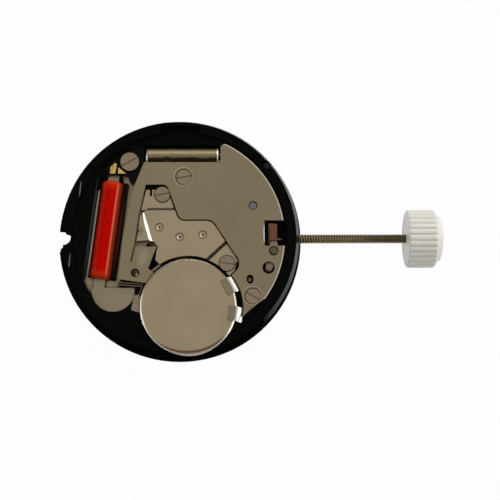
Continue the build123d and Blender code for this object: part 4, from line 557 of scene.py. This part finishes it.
# %% [markdown]
# The crystal's can is closed at both ends by a folded edge, which gets a painted highlight. An
# ellipsoid that is huge across the tube but exactly as long as it acts as two flat ends. The
# crown's inner face gets the same treatment with a grey of painted shade, and the soldered pads
# get specks of dark flux from one more noise.

# %% Marks on the crystal's can, the crown and the pads
can_middle = (can_low.x + can_high.x) / 2 / MM
can_half = (can_high.x - can_low.x) / 2 / MM
can_ends = (can_half, tall, tall)
# a painted highlight on both ends of the can
mark(can_finish, (can_middle, 0, 0), can_ends, (0.95, 0.90, 0.78), inner=0.97, blur=0.005)
crown_start, stem_height = 16.30, 1.30
# painted shade on the crown's inner face
mark(crown_finish, (crown_start, 0, stem_height), (0.10, 5, 5), (0.66, 0.65, 0.60))
gold_tree = gold_finish.node_tree
speckle = ramp_between(gold_tree, grain(gold_tree, 4000.0), ((0.54, 0.0), (0.66, 0.7)))
lay_over(gold_finish, speckle, (0.22, 0.13, 0.04))
print("length of the crystal's can:", round(2 * can_half, 2), "mm")

# %% [markdown]
# The black plate carries a few marks of its own. A peg stands in the hole beside the coil, drawn
# as a dark brown disc with a paler middle and a pale crescent of painted light on its lower right
# side. A red-brown tint lies on the floor of the coil's recess, thin painted highlights run along
# two slots and the recess's edge, and a small round pocket shows in the rim. The iron of the motor
# gets a painted highlight in the strip left of the coil and painted shadow in the gaps below the
# cover's foot.

# %% Marks on the plate and the motor's iron
peg_hole, peg_middle, peg_crescent_highlight = (-3.13, -2.58, 2.62), (-3.10, -2.48, 2.62), (-3.04, -2.90, 2.62)
mark(plate_finish, peg_hole, (0.45, 0.45, 0.2), (0.034, 0.022, 0.014))
mark(plate_finish, peg_middle, (0.16, 0.14, 0.2), (0.075, 0.050, 0.032), blur=0.4)
# a pale crescent of painted light in the hole
mark(plate_finish, peg_crescent_highlight, (0.13, 0.38, 0.2), (0.26, 0.215, 0.16), blur=0.25)
# painted shadow in the gaps below the cover's foot
for y in (-3.10, -3.55):
    foot_gap_shadow = (-3.40, y, 1.65)
    mark(iron_finish, foot_gap_shadow, (0.95, 0.16, 0.2), (0.02, 0.008, 0.006), turn=radians(-7))
# a painted highlight on the iron strip left of the coil
lit_strip, lit_strip_size = (-6.17, 0.75, 1.65), (0.14, 3.7, 0.1)
mark(iron_finish, lit_strip, lit_strip_size, (0.55, 0.48, 0.38), turn=radians(-8))
recess_red_brown, recess_red_brown_size = (-4.50, 0.46, 2.42), (0.36, 3.9, 0.15)
mark(plate_finish, recess_red_brown, recess_red_brown_size, (0.055, 0.012, 0.004), turn=radians(-7.4), blur=0.3)
mark(plate_finish, (6.25, 5.24, 1.8), (0.26, 0.26, 0.8), (0.05, 0.055, 0.055))
# thin painted highlights along two slots and the recess's edge
slot_edge_highlight, recess_edge_highlight = (0.15, 0.15, 0.145), (0.030, 0.036, 0.036)
upper_slot, lower_slot, recess_edge = (-7.06, 3.46, 2.6), (-7.75, -1.62, 2.0), (-6.32, 0.90, 2.4)
mark(plate_finish, upper_slot, (0.05, 0.62, 0.6), slot_edge_highlight, turn=radians(-6))
mark(plate_finish, lower_slot, (0.07, 0.62, 2.0), slot_edge_highlight, turn=radians(-7.4))
mark(plate_finish, recess_edge, (0.045, 3.65, 0.6), recess_edge_highlight, turn=radians(-7.9))
mark(side_finish, (-3.02, -4.75, 0), (0.50, 0.70, tall), (0.36, 0.28, 0.20))
print("nodes in the plate's finish:", len(plate_tree.nodes))

# %% [markdown]
# ## Small edges
# A stamped sheet has a slightly rounded edge that catches the light. A bevel modifier with an
# angle limit rounds only the sharp edges and leaves the flat faces alone. It works on a copy in
# memory at render time, so the CAD mesh itself stays as it is.

# %% Soften the edges
def soften(piece, width, segments=2, angle=40):
    """Rounds the sharp edges of a piece by a bevel modifier; width is in millimetres."""
    bevel = piece.modifiers.new("edge", "BEVEL")
    bevel.width = width * MM
    bevel.segments = segments
    bevel.limit_method = "ANGLE"
    bevel.angle_limit = radians(angle)
    bevel.use_clamp_overlap = True
    bevel.harden_normals = True


sheet_edge, screw_edge = 0.035, 0.02
for name in ("train_bridge", "coil_core"):
    soften(nodes[name], sheet_edge)
soften(nodes["circuit_cover"], 0.06)
for name in ("bridge_screws", "cover_screws", "board_screw"):
    soften(nodes[name], screw_edge)
soften(nodes["cell_can"], 0.12, 4)
soften(nodes["crystal_can"], 0.08, 3)
print("softened solids:", sum(1 for node in nodes.values() if node.modifiers))

# %% [markdown]
# ## The coil
# The motor's coil is thousands of turns of hair-fine red enamelled wire. A turned body with one
# small ridge for each visible turn is light enough to render and still breaks up the highlight
# the way wound wire does. The helper below makes a closed skin from rings of points.

# %% A skin from rings of points
def skin(name, rings, finish, smooth_angle=35):
    """A closed mesh through rings that all have the same number of points."""
    count = len(rings[0])
    points = [point for ring in rings for point in ring]
    faces = []
    for level in range(len(rings) - 1):
        for i in range(count):
            j = (i + 1) % count
            low, high = level * count, (level + 1) * count
            faces.append((low + i, low + j, high + j, high + i))
    faces.append(tuple(reversed(range(count))))
    faces.append(tuple(range((len(rings) - 1) * count, len(rings) * count)))
    data = bpy.data.meshes.new(name)
    data.from_pydata(points, [], faces)
    data.materials.append(finish)
    for face in data.polygons:
        face.use_smooth = True
    data.set_sharp_from_angle(angle=radians(smooth_angle))
    piece = bpy.data.objects.new(name, data)
    bpy.context.scene.collection.objects.link(piece)
    return piece


print("meshes so far:", len(bpy.data.meshes))

# %% [markdown]
# Enamel is a clear red lacquer on copper: glossy, and with a highlight that is itself orange. The
# noise is stretched across the wire, so that it reads as layers of turns and not as clouds.

# %% Red enamelled wire
wire_finish, wire_tree, wire_shader = start_finish(
    "wire_enamel_red", (0.52, 0.0012, 0.0004), 0.22, 0.0
)
wire_layers = grain(wire_tree, 2600.0, (0.6, 9.0, 0.6), 3.0)
dark_red, light_red = (0.42, 0.0008, 0.0003), (0.62, 0.002, 0.0006)
wire_red = ramp_between(wire_tree, wire_layers, ((0.3, dark_red), (0.7, light_red)))
wire_tree.links.new(wire_red, wire_shader.inputs["Base Color"])
wire_polish = remap(wire_tree, wire_layers, noise_middle, (0.17, 0.28))
wire_tree.links.new(wire_polish, wire_shader.inputs["Roughness"])
bump(wire_tree, wire_shader, wire_layers, 10e-6, 0.7)
wire_shader.inputs["Specular IOR Level"].default_value = 0.12
wire_shader.inputs["Specular Tint"].default_value = (1.0, 0.36, 0.12, 1)
print("finish of the wire:", wire_finish.name)

# %% [markdown]
# The colour of the wire changes across and along the coil, but the object's coordinates run along
# the movement, and the coil leans. A mapping node makes a frame that lies along it: in this frame
# X goes from -0.5 to 0.5 over the winding's width, and Y from -1 to 1 over its length.

# %% A frame along the coil
plate_radius = 8.75
coil_place = (-0.598 * plate_radius, 0.067 * plate_radius)
coil_lean = radians(7.4)
coil_height = 1.80
coil_length = 7.05
coil_radius = 0.825
coil_spot = wire_tree.nodes.new("ShaderNodeMapping")
coil_spot.vector_type = "TEXTURE"
coil_spot.inputs["Location"].default_value = (coil_place[0] * MM, coil_place[1] * MM, 0)
coil_spot.inputs["Rotation"].default_value = (0, 0, -coil_lean)
coil_spot.inputs["Scale"].default_value = (2 * coil_radius * MM, coil_length * MM / 2, 1)
wire_place = wire_tree.nodes["Texture Coordinate"]
wire_tree.links.new(wire_place.outputs["Object"], coil_spot.inputs["Vector"])
coil_axes = wire_tree.nodes.new("ShaderNodeSeparateXYZ")
wire_tree.links.new(coil_spot.outputs["Vector"], coil_axes.inputs["Vector"])
print("the coil is", coil_length, "mm long and", 2 * coil_radius, "mm thick")

# %% [markdown]
# Light and shade across the coil are painted into the enamel's colour. A ramp across the coil runs
# from a dark left flank of painted shade with a faint painted highlight, over pure red to a narrow
# orange painted highlight, a dark line of painted shade and a brown right flank, and a second one
# along it turns both ends orange. The first is laid over the layers of turns only in part, so that
# they still show.

# %% Paint light and shade across the coil and colour its ends
from_left = maths(wire_tree, "ADD", coil_axes.outputs["X"], 0.5)
# painted shade and a faint painted highlight on the left, pure red, an orange painted highlight,
# painted shade and a brown right flank
painted_coil_light = (
    (0.00, (0.020, 0.0015, 0.0008)),
    (0.09, (0.110, 0.0040, 0.0020)),
    (0.15, (0.400, 0.0200, 0.0120)),
    (0.22, (0.360, 0.0030, 0.0010)),
    (0.40, (0.520, 0.0010, 0.0003)),
    (0.70, (0.540, 0.0010, 0.0003)),
    (0.76, (0.950, 0.2200, 0.1100)),
    (0.82, (0.320, 0.0260, 0.0090)),
    (0.90, (0.360, 0.0750, 0.0260)),
    (1.00, (0.220, 0.0550, 0.0200)),
)
threads = ramp_between(wire_tree, wire_layers, ((0.30, 0.95), (0.70, 0.55)))
lay_over(wire_finish, threads, ramp_between(wire_tree, from_left, painted_coil_light))
from_middle = maths(wire_tree, "ABSOLUTE", coil_axes.outputs["Y"])
ends = ramp_between(wire_tree, from_middle, ((0.80, 0.0), (0.99, 0.8)))
lay_over(wire_finish, ends, (0.62, 0.045, 0.006))
print("colours across the coil:", len(painted_coil_light))

# %% [markdown]
# Two small functions describe the shape of the winding. The first turns a place across and along
# the coil into a place on the movement, where the coil leans. The second gives the radius, which
# is drawn in at both ends, where the real winding tapers off towards the core.

# %% Places and radii on the coil
coil_end_radius = 0.62
coil_end_taper = 0.35


def beside_coil(across, along, height):
    """Point in metres, given in millimetres across and along the coil from its middle."""
    return (
        (coil_place[0] + across * cos(coil_lean) + along * sin(coil_lean)) * MM,
        (coil_place[1] - across * sin(coil_lean) + along * cos(coil_lean)) * MM,
        height * MM,
    )


def coil_radius_at(along):
    """Radius of the winding: full over its length and drawn in at the ends."""
    from_end = coil_length / 2 - abs(along)
    draw = max(0.0, 1 - from_end / coil_end_taper)
    return coil_radius - (coil_radius - coil_end_radius) * draw**2


print("radius in the middle and at an end:", coil_radius_at(0), coil_radius_at(coil_length / 2))

# %% [markdown]
# The winding itself is a stack of rings. Every third ring is a little smaller, which leaves one
# fine groove between two turns. A helix of round wire would need several times as many faces and
# would look the same at this size.

# %% Wind the coil
turn_pitch = 0.10
turn_relief = 0.02
rings_per_turn = 3
coil_sides = 48
coil_rings = []
turns = int(coil_length / turn_pitch)
coil_steps = rings_per_turn * turns
for step in range(coil_steps + 1):
    along = -coil_length / 2 + coil_length * step / coil_steps
    radius = coil_radius_at(along) - (turn_relief if step % rings_per_turn == 0 else 0)
    ring = []
    for i in range(coil_sides):
        angle = 2 * pi * i / coil_sides
        ring.append(beside_coil(radius * cos(angle), along, coil_height + radius * sin(angle)))
    coil_rings.append(ring)
coil = skin("coil_turns", coil_rings, wire_finish, 80)
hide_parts("coil_winding")
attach(coil, "movement")
print("coil turns:", turns)

# %% [markdown]
# ## The battery clamp
# The foot of the clamp ends under the straight lower edge of the cover. Its solid runs on past
# that edge, so a copy of it is cut back by a boolean with a flat block. Applying the result at
# once, instead of leaving the modifier, means that the block can be deleted again.

# %% Trim the clamp's foot
cover_line = ((6.027, -4.378), (4.423, -5.680))
foot_block = [(4.30, -6.30), (6.90, -6.30), (6.80, -3.75), cover_line[0], cover_line[1]]
block_low, block_high = 2.1, 2.5
block_rings = [[(x * MM, y * MM, z * MM) for x, y in foot_block] for z in (block_low, block_high)]
block = skin("foot_block", block_rings, clamp_finish)
clamp = bpy.data.objects.new("clamp_trimmed", nodes["battery_clamp"].data.copy())
bpy.context.scene.collection.objects.link(clamp)
clamp.matrix_world = nodes["battery_clamp"].matrix_world
cut = clamp.modifiers.new("foot", "BOOLEAN")
cut.operation = "DIFFERENCE"
cut.object = block
trimmed = clamp.evaluated_get(bpy.context.evaluated_depsgraph_get())
clamp.data = bpy.data.meshes.new_from_object(trimmed)
clamp.modifiers.clear()
bpy.data.objects.remove(block)
clamp.data.materials.clear()
clamp.data.materials.append(clamp_finish)
soften(clamp, sheet_edge)
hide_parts("battery_clamp")
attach(clamp, "movement")
print("faces of the clamp:", len(clamp.data.polygons))

# %% [markdown]
# ## Stem and crown
# The winding stem is threaded over its free length, so that it can be cut to fit any case. A
# thread is one ridge that climbs as it goes round: the radius of each point depends on its place
# along the stem minus its angle as a share of a turn.

# %% Rings across the stem
thread_pitch = 0.19
thread_depth = 0.05


def across_stem(distance, angle, reach):
    """Point in metres, given in millimetres along the stem and out from its middle line."""
    return (distance * MM, reach * cos(angle) * MM, (stem_height + reach * sin(angle)) * MM)


def stem_ring(distance, radius, square=0.0, thread=False, count=40):
    """Ring across the stem; a square is given by half its side, a thread by its pitch."""
    ring = []
    for i in range(count):
        angle = 2 * pi * i / count
        reach = radius
        if square:
            reach = square / max(abs(cos(angle)), abs(sin(angle)))
        if thread:
            turn = (distance / thread_pitch - i / count) % 1.0
            reach = radius - thread_depth * abs(2 * turn - 1)
        ring.append(across_stem(distance, angle, reach))
    return ring


print("the thread climbs", thread_pitch, "mm in one turn")

# %% [markdown]
# From the inside out, the stem has a thin pivot, a square that drives the clutch wheel, a round
# body with the groove for the setting lever, and the thread. Two rings at the same distance make
# a sharp shoulder between two of these.

# %% Turn the stem and cut its thread
square_start, body_start, groove_middle, body_end, thread_end = 3.85, 5.60, 6.694, 8.62, 17.85
pivot_radius, square_half, body_radius, thread_radius = 0.18, 0.22, 0.40, 0.34
groove_half, groove_radius, edge = 0.18, 0.24, 0.03
steps_per_turn = 8
stem_rings = [stem_ring(3.2025, 0.16), stem_ring(3.24, pivot_radius)]
stem_rings += [stem_ring(square_start, pivot_radius), stem_ring(square_start, 0, square_half)]
stem_rings += [stem_ring(body_start, 0, square_half), stem_ring(body_start, body_radius)]
stem_rings += [stem_ring(groove_middle - groove_half, body_radius)]
stem_rings += [stem_ring(groove_middle - groove_half, groove_radius)]
stem_rings += [stem_ring(groove_middle + groove_half, groove_radius)]
stem_rings += [stem_ring(groove_middle + groove_half, body_radius)]
stem_rings += [stem_ring(body_end - edge, body_radius), stem_ring(body_end, body_radius - edge)]
thread_steps = int((thread_end - body_end) / thread_pitch * steps_per_turn)
for step in range(thread_steps + 1):
    distance = body_end + (thread_end - body_end) * step / thread_steps
    stem_rings.append(stem_ring(distance, thread_radius, thread=True))
stem = skin("threaded_stem", stem_rings, stem_finish, 30)
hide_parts("stem")
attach(stem, "winding_stem")
print("thread turns:", round((thread_end - body_end) / thread_pitch))

# %% [markdown]
# The crown is one moulding of white plastic with thirty broad ridges and narrow grooves between
# them. A ring across it is a circle whose radius dips in each groove. The square root makes the
# dip steep at its sides and shallow in its middle, which is close to a groove with a round bottom.

# %% Rings across the crown
crown_flutes = 30
samples_per_flute = 10
groove_share = 0.55


def crown_ring(distance, radius, fluting):
    """Ring across the crown; fluting is the depth of its grooves."""
    count = crown_flutes * samples_per_flute
    ring = []
    for i in range(count):
        turn = (i % samples_per_flute) / samples_per_flute
        dip = max(0.0, 1 - abs(2 * turn - 1) / groove_share)
        reach = radius - fluting * sqrt(dip) if dip else radius
        ring.append(across_stem(crown_start + distance, 2 * pi * i / count, reach))
    return ring


print("points in a ring of the crown:", crown_flutes * samples_per_flute)

# %% [markdown]
# The crown is rounded at both ends and has a shallow dome on the outside. Each row of the profile
# gives a distance from the inner face, a radius and how deep the grooves are there, so that they
# run out before they reach the end faces.

# %% Mould the crown
crown_profile = (
    (0.00, 0.33, 0.0),
    (0.00, 1.60, 0.0),
    (0.00, 1.86, 0.0),
    (0.03, 1.98, 0.03),
    (0.10, 2.06, 0.09),
    (0.22, 2.095, 0.13),
    (0.40, 2.10, 0.13),
    (1.75, 2.10, 0.13),
    (1.92, 2.09, 0.12),
    (2.03, 2.04, 0.07),
    (2.09, 1.95, 0.02),
    (2.12, 1.82, 0.0),
    (2.16, 1.74, 0.0),
    (2.32, 1.68, 0.0),
    (2.45, 1.55, 0.0),
    (2.54, 1.30, 0.0),
    (2.58, 0.90, 0.0),
    (2.60, 0.40, 0.0),
)
crown_rings = [crown_ring(*row) for row in crown_profile]
crown = skin("fluted_crown", crown_rings, crown_finish, 50)
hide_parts("crown")
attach(crown, "winding_stem")
print("crown ridges:", crown_flutes)

# %% [markdown]
# ## Camera, floor and light
# The photograph looks down at the battery side from almost straight above, a little from the
# south. A camera in Blender looks along its own -Z axis, so its matrix is made from the three
# directions right, up and back.

# %% Camera
eye = Vector((1.864, -13.581, 95.478)) * MM
pitch, yaw, roll = radians(7.7345), radians(1.9239), radians(0.4239)
focal_pixels, frame_pixels, sensor_width = 1320.14, 500, 36.0
forward = Vector((sin(yaw) * cos(pitch), sin(pitch), -cos(pitch) * cos(yaw))).normalized()
across = forward.cross(Vector((sin(roll), cos(roll), 0))).normalized()
upward = across.cross(forward)
camera_data = bpy.data.cameras.new("camera")
camera_data.sensor_width = sensor_width
camera_data.lens = focal_pixels * sensor_width / frame_pixels
camera_data.clip_start = MM
camera = bpy.data.objects.new("camera", camera_data)
bpy.context.scene.collection.objects.link(camera)
camera.matrix_world = Matrix(
    (
        (across.x, upward.x, -forward.x, eye.x),
        (across.y, upward.y, -forward.y, eye.y),
        (across.z, upward.z, -forward.z, eye.z),
        (0, 0, 0, 1),
    )
)
bpy.context.scene.camera = camera
print("lens:", round(camera_data.lens, 2), "mm")

# %% [markdown]
# The floor is a plain white sheet, a little below the lowest of the hand arbors. It reaches far
# enough to fill the picture from every side.

# %% Floor
floor_reach = 0.6
floor_height = cad_low[2] - 0.2 * MM
corners = ((-1, -1), (1, -1), (1, 1), (-1, 1))
floor_points = [(x * floor_reach, y * floor_reach, floor_height) for x, y in corners]
floor_data = bpy.data.meshes.new("floor")
floor_data.from_pydata(floor_points, [], [(0, 1, 2, 3)])
floor = bpy.data.objects.new("floor", floor_data)
bpy.context.scene.collection.objects.link(floor)
print("floor at", round(floor_height / MM, 2), "mm")

# %% [markdown]
# Seen by the camera, the floor glows white as the photograph's background does, and so it does in
# reflections. The small share of its own shading that stays lets the movement's shadow show.

# %% Make the floor glow
glow_share = 0.97
floor_finish, floor_tree, floor_shader = start_finish("floor_white", (0.80, 0.80, 0.80), 0.9, 0.0)
glow = floor_tree.nodes.new("ShaderNodeEmission")
glow.inputs["Color"].default_value = (1, 1, 1, 1)
glow.inputs["Strength"].default_value = 1.0
rays = floor_tree.nodes.new("ShaderNodeLightPath").outputs
seen = maths(floor_tree, "MAXIMUM", rays["Is Camera Ray"], rays["Is Glossy Ray"])
seen = maths(floor_tree, "MAXIMUM", seen, rays["Is Transmission Ray"])
mix = floor_tree.nodes.new("ShaderNodeMixShader")
floor_tree.links.new(maths(floor_tree, "MULTIPLY", seen, glow_share), mix.inputs["Fac"])
floor_tree.links.new(floor_shader.outputs["BSDF"], mix.inputs[1])
floor_tree.links.new(glow.outputs["Emission"], mix.inputs[2])
floor_output = floor_tree.nodes["Material Output"]
floor_tree.links.new(mix.outputs["Shader"], floor_output.inputs["Surface"])
floor_data.materials.append(floor_finish)
print("share of the glow:", glow_share)

# %% [markdown]
# A lamp's power is hard to choose by eye, since a larger lamp of the same power looks dimmer in
# the metal. The helper below takes how bright the panel looks instead, and works out the power.

# %% A soft panel
def soft_panel(name, place, aim, width, height, radiance):
    """A rectangular lamp, in metres. Its power follows from how bright it looks."""
    data = bpy.data.lights.new(name, "AREA")
    data.shape = "RECTANGLE"
    data.size = width
    data.size_y = height
    data.energy = radiance * pi * width * height
    lamp = bpy.data.objects.new(name, data)
    bpy.context.scene.collection.objects.link(lamp)
    lamp.location = place
    lamp.rotation_euler = (Vector(aim) - Vector(place)).to_track_quat("-Z", "Y").to_euler()
    return lamp


print("watts for a square metre at radiance 1:", round(pi, 2))

# %% [markdown]
# Polished metal shows whatever is around it, so the lamps are placed for what they look like in
# the metal as much as for the light they give. A wide dim sheet overhead fills the flat faces,
# two bright low panels left and right draw white lines along the bent edges, and a soft window
# behind shapes the round pieces. The world fills the rest at a low, even level.

# %% Light
soft_panel("overhead_sheet", (0.0, 0.05, 0.45), (0, 0, 0), 0.50, 0.50, 0.38)
soft_panel("left_panel", (-0.26, 0.0, 0.08), (0, 0, 0.01), 0.20, 0.16, 2.6)
soft_panel("right_panel", (0.28, 0.0, 0.08), (0, 0, 0.01), 0.34, 0.14, 3.0)
soft_panel("back_window", (0.03, 0.30, 0.20), (0.005, 0, 0), 0.30, 0.16, 3.8)
world = bpy.data.worlds.new("studio")
world.use_nodes = True
bpy.context.scene.world = world
world_light = world.node_tree.nodes["Background"]
world_light.inputs["Color"].default_value = (1, 0.98, 0.95, 1)
world_light.inputs["Strength"].default_value = 0.22
bpy.context.scene.view_settings.view_transform = "Standard"
print("lamps:", len(bpy.data.lights))
